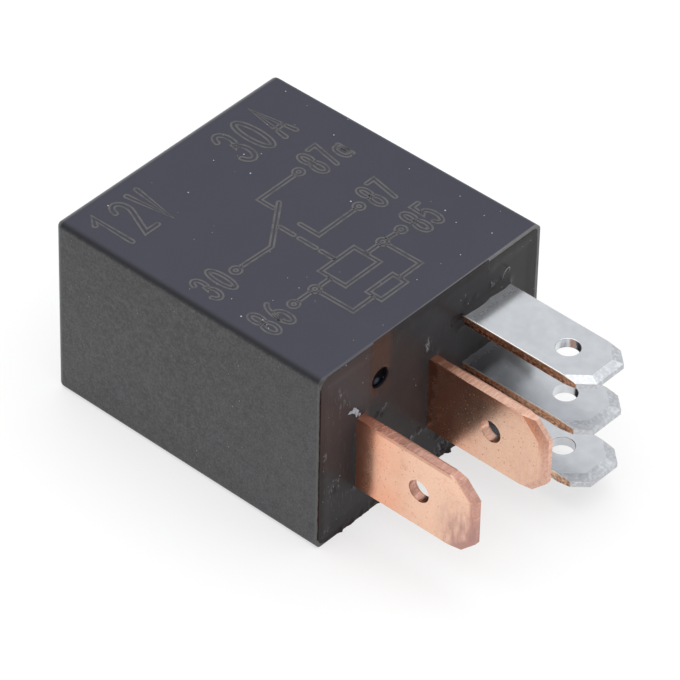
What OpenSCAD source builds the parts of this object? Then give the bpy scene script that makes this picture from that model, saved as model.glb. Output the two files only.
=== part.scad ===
// Changeover relay of the automotive micro size. A coil and a hinged armature
// sit under a one-piece moulded cover, which is potted with resin round its
// five blade terminals. Blades 30 and 87 are bare copper; 85, 86 and 87a are
// tin-plated.
// +X points out along the blades, +Z is the marked face, and the origin is
// the middle of the outline, on the face that the relay lies on.
// Inside from_rim() every x is measured from the cover's rim: x is negative
// inside the cover and positive along the blades.

/* [Cover] */
// Length of the cover, from its closed end to the rim
body_l = 24.7; // [24.2:0.1:30]
// Width of the cover at the rim
body_w = 22.8; // [22.6:0.1:26]
// Thickness of the cover at the rim, between its two large faces
body_t = 15.3; // [15.1:0.1:18]
// Wall thickness of the cover
wall = 0.9; // [0.7:0.05:1]
// Radius of the cover's edges at the closed end
edge_r = 0.45; // [0.4:0.05:1.2]
// Radius of the cover's corners at the rim
rim_r = 0.5; // [0.3:0.1:1]
// Taper that lets the cover leave its mould, per side at the closed end
draft = 0.15; // [0:0.05:0.2]
// Width of the shallow relief in the rim of both large faces
relief_w = 11.9; // [8:0.1:16]
// Depth of that relief below the rim
relief_d = 0.1; // [0.05:0.05:0.3]
// Height of the seating ribs inside the cover
rib_h = 0.35; // [0.2:0.05:0.4]
// Width of the seating ribs
rib_w = 0.8; // [0.5:0.1:1.2]
// Length of the seating ribs
rib_l = 6; // [3:0.5:9]

/* [Resin seal] */
// Depth of the resin's face below the rim
resin_recess = 0.12; // [0.05:0.01:0.3]
// Thickness of the resin over the base
resin_t = 1.2; // [1:0.1:1.4]
// Diameter of the vent hole through resin and base
vent_d = 1.7; // [1:0.1:1.9]
// Distance from the cover's left side to the middle of the vent hole
vent_in = 6.4; // [6.2:0.1:6.6]
// Height of the vent hole above the middle of the rim
vent_up = 3.85; // [3.65:0.1:4.05]

/* [Base plate] */
// Thickness of the moulded base plate
base_t = 1.4; // [1.2:0.1:1.6]
// Height of the low wall round the base's inner side
kerb_h = 0.4; // [0.2:0.1:0.4]
// Thickness of that wall
kerb_t = 0.7; // [0.4:0.1:0.9]

/* [Blades] */
// Thickness of every blade
blade_t = 0.8; // [0.7:0.05:0.85]
// Width of the copper blades 30 and 87
wide_w = 6.3; // [6:0.1:6.5]
// Reach of the copper blades past the rim
wide_reach = 10.8; // [9:0.1:13]
// Distance from a copper blade's tip to its detent hole
wide_hole_in = 5; // [3.5:0.1:5.5]
// Width of a copper blade's tip between its cut corners
wide_tip_w = 3.75; // [3:0.05:4.5]
// Length of a copper blade's cut corners
wide_cut_l = 1.25; // [0.8:0.05:1.6]
// Width of the tin-plated blades 85, 86 and 87a
narrow_w = 4.8; // [4.5:0.1:4.9]
// Reach of the tin-plated blades past the rim
narrow_reach = 11.3; // [9:0.1:13]
// Distance from a tin-plated blade's tip to its detent hole
narrow_hole_in = 3.8; // [3:0.1:5]
// Width of a tin-plated blade's tip between its cut corners
narrow_tip_w = 2.85; // [2.2:0.05:3.5]
// Length of a tin-plated blade's cut corners
narrow_cut_l = 1.1; // [0.8:0.05:1.5]
// Diameter of the detent hole in every blade
hole_d = 1.8; // [1.4:0.1:2]
// Length of the coined lead-in round the tip of every blade
lead_in_l = 0.75; // [0.5:0.05:1]
// Thickness left at the very tip of a blade
tip_t = 0.4; // [0.3:0.05:0.6]

/* [Blade places] */
// Distance from the cover's left side to the middle of blade 30
in_30 = 4.2; // [4.1:0.05:4.3]
// Place of blade 87 to the right of the cover's middle
right_87 = 0.2; // [0.15:0.05:0.35]
// Distance from the cover's right side to the middle of blades 85, 86 and 87a
in_narrow = 5.7; // [5.4:0.05:5.75]
// Height of blade 30 above the middle of the rim
up_30 = -1.15; // [-1.2:0.05:-0.4]
// Height of blade 87 above the middle of the rim
up_87 = -0.55; // [-1:0.05:-0.3]
// Height of blade 86 above the middle of the rim
up_86 = 3.95; // [3.9:0.05:4.3]
// Height of blade 87a above the middle of the rim
up_87a = -0.2; // [-0.25:0.05:0.1]
// Height of blade 85 above the middle of the rim
up_85 = -5.1; // [-5.1:0.05:-4.8]

/* [Magnet] */
// Thickness of the yoke
yoke_t = 1.3; // [1.1:0.05:1.4]
// Width of the yoke and the armature
yoke_w = 10.6; // [10:0.1:11]
// Gap between the cover's wall and the outside of the yoke
yoke_room = 0.7; // [0.65:0.05:0.8]
// Diameter of the core
core_d = 4.6; // [4:0.1:5]
// Diameter of the core's neck where the yoke and blade 30 are staked to it
neck_d = 3.8; // [3.2:0.1:3.9]
// Diameter of the core's pole face
pole_d = 7.2; // [6.4:0.1:8]
// Thickness of the pole face
pole_t = 0.9; // [0.7:0.05:1.1]
// Thickness of the armature
armature_t = 1.2; // [1:0.05:1.3]
// Air gap left between armature and pole when the coil is on
pole_gap = 0.05; // [0.03:0.01:0.1]
// Angle through which the armature swings, in degrees
swing = 2.5; // [1.5:0.1:2.8]

/* [Coil] */
// Thickness of the bobbin's tube
tube_t = 0.5; // [0.4:0.05:0.6]
// Thickness of the bobbin's flanges
flange_t = 0.7; // [0.5:0.05:0.9]
// Outside diameter of the finished winding
coil_d = 9.2; // [8:0.1:9.4]
// Pitch of the winding's turns
turn_pitch = 0.4; // [0.3:0.05:0.6]
// Diameter of the coil's wire where it leaves for the terminals
wire_d = 0.2; // [0.15:0.05:0.3]
// Turns of that wire round each terminal's tab
wrap_turns = 3; // [2:1:4]

/* [Contacts] */
// Place of the contacts across the width
contact_y = 6.4; // [6:0.1:6.8]
// Diameter of the contact heads
contact_d = 2.6; // [2:0.1:2.8]
// Height of the contact heads
contact_h = 0.45; // [0.35:0.05:0.5]
// Radius of the contacts' domed faces
dome_r = 4; // [3:0.5:6]
// Diameter of the contact shanks
shank_d = 1.4; // [1:0.1:1.6]
// Thickness of the contact spring
leaf_t = 0.25; // [0.2:0.05:0.3]
// Width of the contact spring's free end
leaf_w = 4.4; // [4:0.1:5]
// Diameter of the rivets that hold the spring
rivet_d = 1.2; // [0.8:0.1:1.4]
// Distance between the two rivets of each pair
rivet_gap = 3.6; // [3.2:0.1:3.8]
// Height of the rivets' heads
rivet_head_h = 0.28; // [0.2:0.02:0.3]
// How far a rivet's head stands out past its shank
rivet_brim = 0.4; // [0.3:0.05:0.45]

/* [Resistor] */
// Diameter of the resistor across the coil
resistor_d = 2.3; // [1.8:0.1:2.4]
// Length of the resistor's body
resistor_l = 5.6; // [5:0.1:6]
// Diameter of the resistor's leads
lead_d = 0.5; // [0.4:0.05:0.6]

/* [Hidden] */
$fn = 48;

copper = "#d79a7c";
tin = "#c3c9cf";
iron = "#8b8d90";
silver = "#e4e4e0";

// Clearances: slip is left where one piece slides over another, touch where
// two pieces bear on each other.
slip = 0.05;
touch = 0.02;
past = 0.5;
bend = 0.9;
bend_steps = 5;

overall_l = body_l + max(wide_reach, narrow_reach);
rim_x = body_l - overall_l / 2;
mid_z = body_t / 2;
y_30 = -(body_w / 2 - in_30);
y_87 = right_87;
y_narrow = body_w / 2 - in_narrow;
z_30 = mid_z + up_30;
z_87 = mid_z + up_87;
z_86 = mid_z + up_86;
z_87a = mid_z + up_87a;
z_85 = mid_z + up_85;
vent_y = -(body_w / 2 - vent_in);
vent_z = mid_z + vent_up;

// Stack of the pieces behind the rim, outermost first.
resin_x = -resin_recess;
base_x = resin_x - resin_t;
base_in = base_x - base_t;
stake_h = 0.5;
foot_x = base_in - stake_h - 0.1;
leg_x = foot_x - blade_t;
coil_x = leg_x - yoke_t;
end_in = -(body_l - wall);

// The contacts decide where the armature closes: its own moving contact
// leans on the normally closed one at rest.
nc_shelf_x = end_in + 0.1 + blade_t;
nc_face_x = nc_shelf_x + contact_h;
yoke_out_y = -(body_w / 2 - wall - yoke_room);
arm = contact_y - yoke_out_y;
dome_off = dome_r - armature_t - touch - leaf_t - contact_h;
hinge = [
    nc_face_x + touch + dome_r + arm * sin(swing) - dome_off * cos(swing),
    yoke_out_y
];
pole_x = hinge[0] + pole_gap;
leaf_x = hinge[0] - armature_t - touch;
no_face_x = leaf_x + contact_h + touch;
no_shelf_x = no_face_x + contact_h;

// The coil lies beside the yoke's long leg, clear of the bend inside it.
yoke_in_y = yoke_out_y + yoke_t;
yoke_bend = yoke_t / 2 + 0.45;
flange_w = coil_d + 0.4;
core_y = yoke_in_y + yoke_bend - yoke_t / 2 + slip + flange_w / 2;
core_z = mid_z;
upper_flange_x = pole_x + pole_t + flange_t;
lower_flange_x = coil_x - flange_t;
flange_h = 10.4;
yoke_end_y = core_y + core_d / 2 + 0.5;
armature_end_y = core_y + pole_d / 2 + 0.9;

// Strips that carry the current inside.
riser_87_y = 3.4;
riser_87_w = 4.6;
riser_87a_y = body_w / 2 - wall - 0.4 - blade_t / 2;
riser_87a_top = 12.1;
riser_87a_w = 3.8;
shelf_end = contact_d / 2 + 0.3;
tab_w = 1;
wrap_pitch = 1.4 * wire_d;
wrap_y = y_narrow - narrow_w / 2 - 0.3 - wrap_turns * wrap_pitch;
tab_y = wrap_y - 0.6;
tab_x = foot_x - blade_t / 2 - 0.2;
plate_in_x = tab_x - 1.7;
leaf_tip_y = contact_y + contact_d / 2 + 0.4;
yoke_rivet_x = (pole_x + coil_x) / 2;
leaf_start_x = yoke_rivet_x + 2.2;
ear_w = 0.9;
ear_h = 0.8;
resistor_x = plate_in_x - 0.6 - resistor_d / 2;
resistor_y = y_narrow + 0.5;

// Path helpers: a sheet strip is drawn by its middle line.
function unit(v) = v / norm(v);
function left_of(v) = [-v[1], v[0]];
function heading(path, i) = unit(path[min(i + 1, len(path) - 1)] - path[min(i, len(path) - 2)]);
function mitre(path, i) =
    let (a = left_of(heading(path, max(i - 1, 0))), b = left_of(heading(path, i)), m = unit(a + b))
    m / (m * a);
function ribbon(path, t) = concat(
    [for (i = [0 : len(path) - 1]) path[i] + mitre(path, i) * t / 2],
    [for (i = [len(path) - 1 : -1 : 0]) path[i] - mitre(path, i) * t / 2]
);
function bent(path, d) = [
    for (i = [0 : len(path) - 1])
    each (i == 0 || i == len(path) - 1)
        ? [path[i]]
        : let (
            a = path[i] - d * heading(path, i - 1),
            b = path[i] + d * heading(path, i)
        )
        [for (k = [0 : bend_steps]) let (t = k / bend_steps)
            (1 - t) * (1 - t) * a + 2 * t * (1 - t) * path[i] + t * t * b]
];
function swung(p) =
    let (d = p - hinge)
    hinge + [d[0] * cos(swing) - d[1] * sin(swing), d[0] * sin(swing) + d[1] * cos(swing)];
function across(v) = unit(abs(v[0]) < 0.9 * norm(v) ? cross(v, [1, 0, 0]) : cross(v, [0, 1, 0]));
function square_to(f, v) = unit(f - (f * v) * v);

module from_rim() {
    translate([rim_x, 0, 0]) children();
}

// Armature pieces are drawn pulled in, then swung back to rest.
module at_rest() {
    translate([hinge[0], hinge[1], 0]) rotate([0, 0, swing]) translate([-hinge[0], -hinge[1], 0]) children();
}

// A sheet strip bent in plan, standing between the heights z0 and z1.
module strip(path, z0, z1) {
    translate([0, 0, z0]) linear_extrude(height = z1 - z0) polygon(ribbon(bent(path, bend), blade_t));
}

// A round wire along a path in space.
module wire(path, d, sides = 8) {
    n = len(path);
    frames = [
        for (i = 0, f = across(heading(path, 0)); i < n; i = i + 1, f = square_to(f, heading(path, i))) f
    ];
    points = [
        for (i = [0 : n - 1]) let (v = heading(path, i), f = frames[i], g = cross(v, f))
        for (k = [0 : sides - 1]) path[i] + d / 2 * (cos(360 * k / sides) * f + sin(360 * k / sides) * g)
    ];
    faces = concat(
        [[for (k = [sides - 1 : -1 : 0]) k]],
        [for (i = [0 : n - 2]) for (k = [0 : sides - 1])
            let (m = (k + 1) % sides) [i * sides + k, i * sides + m, (i + 1) * sides + m, (i + 1) * sides + k]],
        [[for (k = [0 : sides - 1]) (n - 1) * sides + k]]
    );
    polyhedron(points = points, faces = [for (f = faces) [for (k = [len(f) - 1 : -1 : 0]) f[k]]], convexity = 8);
}

// A bead whose equator faces +X: the rounding of one corner.
module corner_bead(r) {
    rotate([0, -90, 0]) rotate_extrude($fn = 32)
        polygon(concat([[0, 0]], [for (a = [0 : 15 : 90]) [r * cos(a), r * sin(a)]]));
}

// The cover's form, taken in by `in` all round, from x1 back to its end.
module cover_form(in, x1, r_end, r_rim) {
    half = body_w / 2 - in;
    hull() {
        for (side = [-1, 1], z = [in + r_end, body_t - draft - in - r_end])
            translate([-body_l + in + r_end, side * (half - draft - r_end), z]) corner_bead(r_end);
        for (side = [-1, 1], z = [in + r_rim, body_t - in - r_rim])
            translate([-touch, side * (half - r_rim), z]) rotate([0, 90, 0]) cylinder(r = r_rim, h = x1 + touch, $fn = 32);
    }
}

module cover() {
    inner_r = 0.35;
    rib_x = base_in - kerb_h - touch;
    color("#3d3f47") from_rim() {
        difference() {
            cover_form(0, 0, edge_r, rim_r);
            cover_form(wall, past, inner_r, inner_r);
            for (z = [0, body_t])
                translate([0, 0, z]) cube([2 * relief_d, relief_w, 2 * wall], center = true);
        }
        for (side = [-1, 1], z = [wall + 0.9, body_t - wall - 0.9])
            seating_rib(side * (body_w / 2 - wall + touch), z, rib_h, rib_w, rib_x, side, 0);
        for (y = [-relief_w / 2, relief_w / 2])
            for (up = [-1, 1])
                seating_rib(y, mid_z + up * (mid_z - wall + touch), rib_w, rib_h, rib_x, 0, up);
    }
}

// One rib on the cover's inner wall, whose end the base seats on. It is sunk
// into the wall by enough to stay joined to it over the mould's taper.
module seating_rib(y, z, w, h, x, side, up) {
    root = draft + 0.2;
    size_y = side == 0 ? w : w + root;
    size_z = up == 0 ? h : h + root;
    translate([x - rib_l, y - (side == 0 ? w / 2 : 0), z - (up == 0 ? h / 2 : 0)])
        translate([0, side == 0 ? 0 : (side > 0 ? -w : -root), up == 0 ? 0 : (up > 0 ? -h : -root)])
            cube([rib_l, size_y, size_z]);
}

// Openings through base and resin for the blades, wider by `gap` all round.
module blade_slots(gap, x0, x1) {
    l = x1 - x0 + 2 * past;
    for (at = [[y_30, z_30], [y_87, z_87]])
        translate([(x0 + x1) / 2, at[0], at[1]]) cube([l, blade_t + 2 * gap, wide_w + 2 * gap], center = true);
    for (z = [z_85, z_87a, z_86])
        translate([(x0 + x1) / 2, y_narrow, z]) cube([l, narrow_w + 2 * gap, blade_t + 2 * gap], center = true);
}

module vent_hole() {
    translate([base_in - past, vent_y, vent_z]) rotate([0, 90, 0]) cylinder(d = vent_d, h = -base_in + 2 * past);
}

// A plate that fills the cover's inside between two depths.
module filling_plate(x0, x1, gap, r) {
    half_w = body_w / 2 - wall - gap;
    translate([x0, 0, 0]) rotate([90, 0, 90]) linear_extrude(height = x1 - x0)
        union() {
            translate([-half_w + r, wall + gap]) square([2 * (half_w - r), body_t - 2 * (wall + gap)]);
            translate([-half_w, wall + gap + r]) square([2 * half_w, body_t - 2 * (wall + gap + r)]);
            for (side = [-1, 1], z = [wall + gap + r, body_t - wall - gap - r])
                translate([side * (half_w - r), z]) circle(r = r, $fn = 24);
        }
}

module base() {
    post = [2.2, 1.4];
    color("#2b2b2d") from_rim() difference() {
        union() {
            filling_plate(base_in, base_x, slip + draft, 0.5);
            difference() {
                filling_plate(base_in - kerb_h, base_in, slip + draft, 0.5);
                filling_plate(base_in - kerb_h - past, base_in + 0, slip + draft + kerb_t, 0.3);
            }
            for (side = [-1, 1])
                translate([(base_in + leg_x) / 2, yoke_end_y - 0.3 - post[0] / 2, core_z + side * (yoke_w / 2 - 0.15)])
                    cube([base_in - leg_x, post[0], post[1]], center = true);
        }
        blade_slots(slip, base_in, base_x);
        vent_hole();
    }
}

module resin_seal() {
    color("#1d1c1c") from_rim() difference() {
        filling_plate(base_x, resin_x, touch, 0.35);
        blade_slots(touch, base_x, resin_x);
        vent_hole();
    }
}

// What coining takes off a blade's upper face along the edge through `at`,
// whose outward direction is turned by `a` from +X.
module coining(at, a, w) {
    slope = atan2((blade_t - tip_t) / 2, lead_in_l);
    translate([at[0], at[1], tip_t / 2]) rotate([0, slope, a])
        translate([-2 * lead_in_l, -w, 0]) cube([3 * lead_in_l, 2 * w, blade_t]);
}

// A blade along +X, its width along Y: cut corners, lead-in and detent hole.
module blade(w, x0, reach, tip_w, cut_l, hole_in) {
    corner = atan2(cut_l, (w - tip_w) / 2);
    difference() {
        linear_extrude(height = blade_t, center = true) polygon([
            [x0, -w / 2], [reach - cut_l, -w / 2], [reach, -tip_w / 2],
            [reach, tip_w / 2], [reach - cut_l, w / 2], [x0, w / 2]
        ]);
        for (face = [0, 1]) mirror([0, 0, face]) {
            coining([reach, 0], 0, w);
            for (side = [-1, 1])
                coining([reach, side * tip_w / 2], side * corner, w);
        }
        translate([reach - hole_in, 0, -blade_t]) cylinder(d = hole_d, h = 2 * blade_t);
    }
}

module wide_blade(y, z, x0) {
    translate([0, y, z]) rotate([90, 0, 0])
        blade(wide_w, x0, wide_reach, wide_tip_w, wide_cut_l, wide_hole_in);
}

module narrow_blade(z, x0) {
    translate([0, y_narrow, z])
        blade(narrow_w, x0, narrow_reach, narrow_tip_w, narrow_cut_l, narrow_hole_in);
}

// Blade 30 turns to a foot that the core is staked through, under the yoke.
module terminal_30() {
    foot_w = 8;
    foot_mid = foot_x - blade_t / 2;
    color(copper) from_rim() difference() {
        union() {
            wide_blade(y_30, z_30, base_in);
            strip([[base_in, y_30], [foot_mid, y_30], [foot_mid, yoke_end_y - 0.2]],
                z_30 - wide_w / 2, z_30 + wide_w / 2);
            translate([leg_x, y_30 + bend, core_z - foot_w / 2])
                cube([blade_t, yoke_end_y - 0.2 - y_30 - bend, foot_w]);
        }
        core_hole();
    }
}

module core_hole() {
    translate([coil_x - past, core_y, core_z]) rotate([0, 90, 0])
        cylinder(d = neck_d + 2 * touch, h = yoke_t + blade_t + 2 * past);
}

// Blade 87 steps over and rises beside the coil to the shelf of its contact.
module terminal_87() {
    shelf_mid = no_shelf_x + blade_t / 2;
    color(copper) from_rim() difference() {
        union() {
            wide_blade(y_87, z_87, base_in);
            strip([[base_x, y_87], [base_in - 0.8, y_87], [coil_x - 0.2, riser_87_y],
                [shelf_mid, riser_87_y], [shelf_mid, contact_y + shelf_end]],
                core_z - riser_87_w / 2, core_z + riser_87_w / 2);
        }
        shank_hole(no_shelf_x, blade_t);
    }
}

// Hole through a sheet for a contact's shank, on the contact's axis.
module shank_hole(x, t) {
    translate([x - past, contact_y, core_z]) rotate([0, 90, 0]) cylinder(d = shank_d + 2 * touch, h = t + 2 * past);
}

// Blade 87a folds up along the cover's side wall and over behind the spring.
module terminal_87a() {
    shelf_mid = nc_shelf_x - blade_t / 2;
    neck_y = riser_87_y + blade_t / 2 + 0.8;
    neck_x0 = tab_x - 1.4;
    color(tin) from_rim() difference() {
        union() {
            narrow_blade(z_87a, base_in);
            translate([neck_x0, 0, 0]) rotate([90, 0, 90]) linear_extrude(height = base_in - kerb_h - touch - neck_x0)
                polygon(ribbon(bent([[neck_y, z_87a], [riser_87a_y, z_87a], [riser_87a_y, riser_87a_top]], bend),
                    blade_t));
            translate([neck_x0, neck_y, z_87a - blade_t / 2])
                cube([base_in - neck_x0 + touch, y_narrow + narrow_w / 2 - neck_y, blade_t]);
            strip([[neck_x0 + 1, riser_87a_y], [shelf_mid, riser_87a_y], [shelf_mid, contact_y - shelf_end]],
                riser_87a_top - riser_87a_w, riser_87a_top);
            translate([nc_shelf_x - blade_t, contact_y - shelf_end, core_z - shelf_end])
                cube([blade_t, 2 * shelf_end, riser_87a_top - core_z + shelf_end]);
        }
        shank_hole(nc_shelf_x - blade_t, blade_t);
    }
}

// Blades 85 and 86 end inside in a plate with a side tab for the coil's wire.
module coil_terminal(z) {
    color(tin) from_rim() {
        narrow_blade(z, base_in);
        translate([plate_in_x, y_narrow - narrow_w / 2, z - blade_t / 2])
            cube([base_in - plate_in_x + touch, narrow_w, blade_t]);
        translate([tab_x - tab_w / 2, tab_y, z - blade_t / 2])
            cube([tab_w, y_narrow - tab_y, blade_t]);
    }
}

module terminal_86() {
    coil_terminal(z_86);
}

module terminal_85() {
    coil_terminal(z_85);
}

module yoke() {
    leg_mid_y = yoke_out_y + yoke_t / 2;
    color(iron) from_rim() difference() {
        union() {
            translate([0, 0, core_z]) linear_extrude(height = yoke_w, center = true)
                polygon(ribbon(bent([[pole_x, leg_mid_y], [leg_x - yoke_t / 2, leg_mid_y],
                    [leg_x - yoke_t / 2, yoke_end_y]], yoke_bend), yoke_t));
            for (side = [-1, 1])
                translate([pole_x - ear_h / 2 + touch / 2, leg_mid_y, core_z + side * (yoke_w - ear_w) / 2])
                    cube([ear_h + touch, yoke_t, ear_w], center = true);
        }
        core_hole();
        yoke_rivet_places() cylinder(d = rivet_d + 2 * touch, h = 4 * yoke_t, center = true);
    }
}

module yoke_rivet_places() {
    for (side = [-1, 1])
        translate([yoke_rivet_x, yoke_out_y, core_z + side * rivet_gap / 2]) rotate([90, 0, 0]) children();
}

// Turned core: staked tail, neck, shank and pole face, in one profile.
module core() {
    color("#9a9ca0") from_rim() translate([0, core_y, core_z]) rotate([0, 90, 0]) rotate_extrude() polygon([
        [0, pole_x], [pole_d / 2 - 0.2, pole_x], [pole_d / 2, pole_x + 0.2], [pole_d / 2, pole_x + pole_t],
        [core_d / 2, pole_x + pole_t], [core_d / 2, coil_x - touch], [neck_d / 2, coil_x - touch],
        [neck_d / 2, foot_x + touch], [neck_d / 2 + 0.5, foot_x + touch],
        [neck_d / 2 + 0.3, foot_x + stake_h], [0, foot_x + stake_h]
    ]);
}

module bobbin() {
    bore_r = core_d / 2 + slip;
    peg_z = yoke_w / 2 - 0.4;
    color("#d8d2c0") from_rim() difference() {
        union() {
            translate([lower_flange_x, core_y, core_z]) rotate([0, -90, 0])
                cylinder(r = bore_r + tube_t, h = lower_flange_x - upper_flange_x);
            flange(lower_flange_x);
            flange(upper_flange_x - flange_t);
            for (side = [-1, 1])
                translate([coil_x - touch, yoke_end_y + 0.8, core_z + side * peg_z]) rotate([0, 90, 0])
                    cylinder(d = 1.1, h = base_in - coil_x);
        }
        translate([upper_flange_x - 2 * flange_t, core_y, core_z]) rotate([0, 90, 0])
            cylinder(r = bore_r, h = body_l);
    }
}

// A flange with rounded corners, lying square to the core.
module flange(x) {
    r = 0.8;
    translate([x, core_y, core_z]) rotate([90, 0, 90]) linear_extrude(height = flange_t) union() {
        square([flange_w, flange_h - 2 * r], center = true);
        square([flange_w - 2 * r, flange_h], center = true);
        for (a = [-1, 1], b = [-1, 1])
            translate([a * (flange_w / 2 - r), b * (flange_h / 2 - r)]) circle(r = r, $fn = 24);
    }
}

// Wound wire: the outside shows one ridge for each turn of the last layer.
module winding() {
    x0 = upper_flange_x + touch;
    x1 = lower_flange_x - touch;
    turns = floor((x1 - x0) / turn_pitch);
    pitch = (x1 - x0) / turns;
    inner = core_d / 2 + slip + tube_t + touch;
    ridge = pitch * 0.28;
    color("#a4532c") from_rim() translate([0, core_y, core_z]) rotate([0, 90, 0]) rotate_extrude() polygon(concat(
        [[inner, x1], [inner, x0]],
        [for (i = [0 : turns - 1]) for (s = [0, 0.25, 0.75])
            [coil_d / 2 - (s == 0 ? ridge : 0), x0 + (i + s) * pitch]],
        [[coil_d / 2 - ridge, x1]]
    ));
}

// The wire leaves the winding past the flange's edge and wraps a tab.
module coil_lead(z, side) {
    wrap_r = sqrt(tab_w * tab_w + blade_t * blade_t) / 2 + wire_d / 2 + touch;
    off = coil_d / 2 * sin(45);
    past_y = core_y + flange_w / 2 + 0.25;
    clear_z = z - side * (wrap_r + wire_d);
    x_in = lower_flange_x - 0.6;
    start = [x_in, core_y + off, core_z + side * (off + wire_d)];
    wraps = [
        for (k = [0 : 12 * wrap_turns])
        [tab_x - wrap_r * cos(30 * k), wrap_y + k * wrap_pitch / 12, z + side * wrap_r * sin(30 * k)]
    ];
    color("#a4532c") from_rim() wire(concat(
        [start, start + [0, 0.9, side * 0.1], [x_in + 0.4, past_y, clear_z],
            [coil_x + wire_d, past_y, clear_z]], wraps
    ), wire_d);
}

module coil_lead_86() {
    coil_lead(z_86, 1);
}

module coil_lead_85() {
    coil_lead(z_85, -1);
}

// Flat plate, notched where it sits between the yoke's ears.
module armature() {
    full = yoke_w / 2;
    notched = full - ear_w - 0.15;
    heel_y = yoke_out_y + armature_t * sin(swing) + touch;
    step_y = yoke_in_y + 0.2;
    color(iron) from_rim() at_rest() difference() {
        translate([hinge[0] - armature_t, 0, core_z]) rotate([90, 0, 90]) linear_extrude(height = armature_t)
            polygon([
                [heel_y, -notched], [step_y, -notched], [step_y, -full],
                [armature_end_y - 1.2, -full], [armature_end_y, -full + 1.6],
                [armature_end_y, full - 1.6], [armature_end_y - 1.2, full],
                [step_y, full], [step_y, notched], [heel_y, notched]
            ]);
        armature_rivet_places() cylinder(d = rivet_d + 2 * touch, h = 4 * armature_t, center = true);
    }
}

module armature_rivet_places() {
    for (side = [-1, 1])
        translate([hinge[0], core_y, core_z + side * rivet_gap / 2]) rotate([0, 90, 0]) children();
}

// One leaf: along the yoke, round the hinge, over the armature to the contact.
module contact_spring() {
    leaf_mid = leaf_x - leaf_t / 2;
    leg_y = yoke_out_y - touch - leaf_t / 2;
    crown = swung([leaf_mid - 0.8, leg_y + 1.3]);
    line = [
        [leaf_start_x, leg_y], [crown[0], leg_y], crown,
        swung([leaf_mid, leg_y + 2.7]), swung([leaf_mid, leaf_tip_y])
    ];
    wide = 6.6;
    shoulder_y = armature_end_y + 0.6;
    color("#c98d5a") from_rim() difference() {
        translate([0, 0, core_z]) linear_extrude(height = wide, center = true)
            polygon(ribbon(bent(line, 0.5), leaf_t));
        at_rest() for (side = [-1, 1])
            translate([leaf_mid, shoulder_y + 10, core_z + side * (leaf_w / 2 + 5)])
                cube([body_t, 20, 10], center = true);
        yoke_rivet_places() cylinder(d = rivet_d + 2 * touch, h = 4 * yoke_t, center = true);
        at_rest() {
            armature_rivet_places() cylinder(d = rivet_d + 2 * touch, h = 6 * armature_t, center = true);
            shank_hole(leaf_x - leaf_t, leaf_t);
        }
    }
}

// A rivet along +Z, its head's seat at height 0 and its shank `grip` deep.
module rivet(grip) {
    r = rivet_d / 2;
    rotate_extrude() polygon([
        [0, -rivet_head_h], [r + rivet_brim * 0.4, -rivet_head_h], [r + rivet_brim, 0], [r, 0],
        [r, grip], [0, grip]
    ]);
}

module yoke_rivets() {
    color(iron) from_rim() for (side = [-1, 1])
        translate([yoke_rivet_x, yoke_out_y - 2 * touch - leaf_t, core_z + side * rivet_gap / 2])
            rotate([-90, 0, 0]) rivet(leaf_t + yoke_t - 0.01);
}

module armature_rivets() {
    color(iron) from_rim() at_rest() for (side = [-1, 1])
        translate([leaf_x - leaf_t - touch, core_y, core_z + side * rivet_gap / 2])
            rotate([0, 90, 0]) rivet(leaf_t + armature_t - 0.01);
}

// Half outline of a domed contact head, its seat at height 0, apex at contact_h.
function head_line() = [
    for (r = [contact_d / 2 : -contact_d / 12 : 0]) [r, contact_h - dome_r + sqrt(dome_r * dome_r - r * r)]
];

module moving_contact() {
    seat = leaf_t / 2 + touch;
    color(silver) from_rim() at_rest() translate([leaf_x - leaf_t / 2, contact_y, core_z]) rotate([0, 90, 0])
        rotate_extrude() polygon(concat(
            [for (p = head_line()) [p[0], -p[1] - seat + touch]],
            [for (i = [len(head_line()) - 1 : -1 : 0]) [head_line()[i][0], head_line()[i][1] + seat - touch]],
            [[contact_d / 2, seat], [shank_d / 2, seat], [shank_d / 2, -seat], [contact_d / 2, -seat]]
        ));
}

// A fixed contact: head towards -X when way is -1, shank through its shelf
// and standing proud behind it by `tail`.
module fixed_contact(x, way, tail) {
    color(silver) from_rim() translate([x, contact_y, core_z]) rotate([0, 90 * way, 0])
        rotate_extrude() polygon(concat(
            [[0, -blade_t - tail], [shank_d / 2, -blade_t - tail], [shank_d / 2, touch], [contact_d / 2, touch]],
            head_line()
        ));
}

module no_contact() {
    fixed_contact(no_shelf_x, -1, 0.15);
}

module nc_contact() {
    fixed_contact(nc_shelf_x, 1, 0);
}

module resistor() {
    z0 = (z_85 + z_86) / 2 - resistor_l / 2;
    cap = 1.1;
    dip = 0.18;
    r = resistor_d / 2;
    color("#7fb2b8") from_rim() translate([resistor_x, resistor_y, z0]) rotate_extrude() polygon([
        [0, 0], [r * 0.6, 0], [r, 0.35], [r, cap], [r - dip, cap + 0.4],
        [r - dip, resistor_l - cap - 0.4], [r, resistor_l - cap], [r, resistor_l - 0.35], [r * 0.6, resistor_l],
        [0, resistor_l]
    ]);
}

// One lead at each end, bent over to lie along the inside of its terminal.
module resistor_leads() {
    color(tin) from_rim() for (side = [-1, 1]) {
        z_body = (z_85 + z_86) / 2 + side * (resistor_l / 2 + touch);
        z_bar = (side > 0 ? z_86 : z_85) - side * (blade_t / 2 + lead_d / 2 + touch);
        wire([for (p = bent([[resistor_x, z_body], [resistor_x, z_bar], [tab_x, z_bar]], 0.35)) [p[0], resistor_y, p[1]]],
            lead_d);
    }
}

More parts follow.
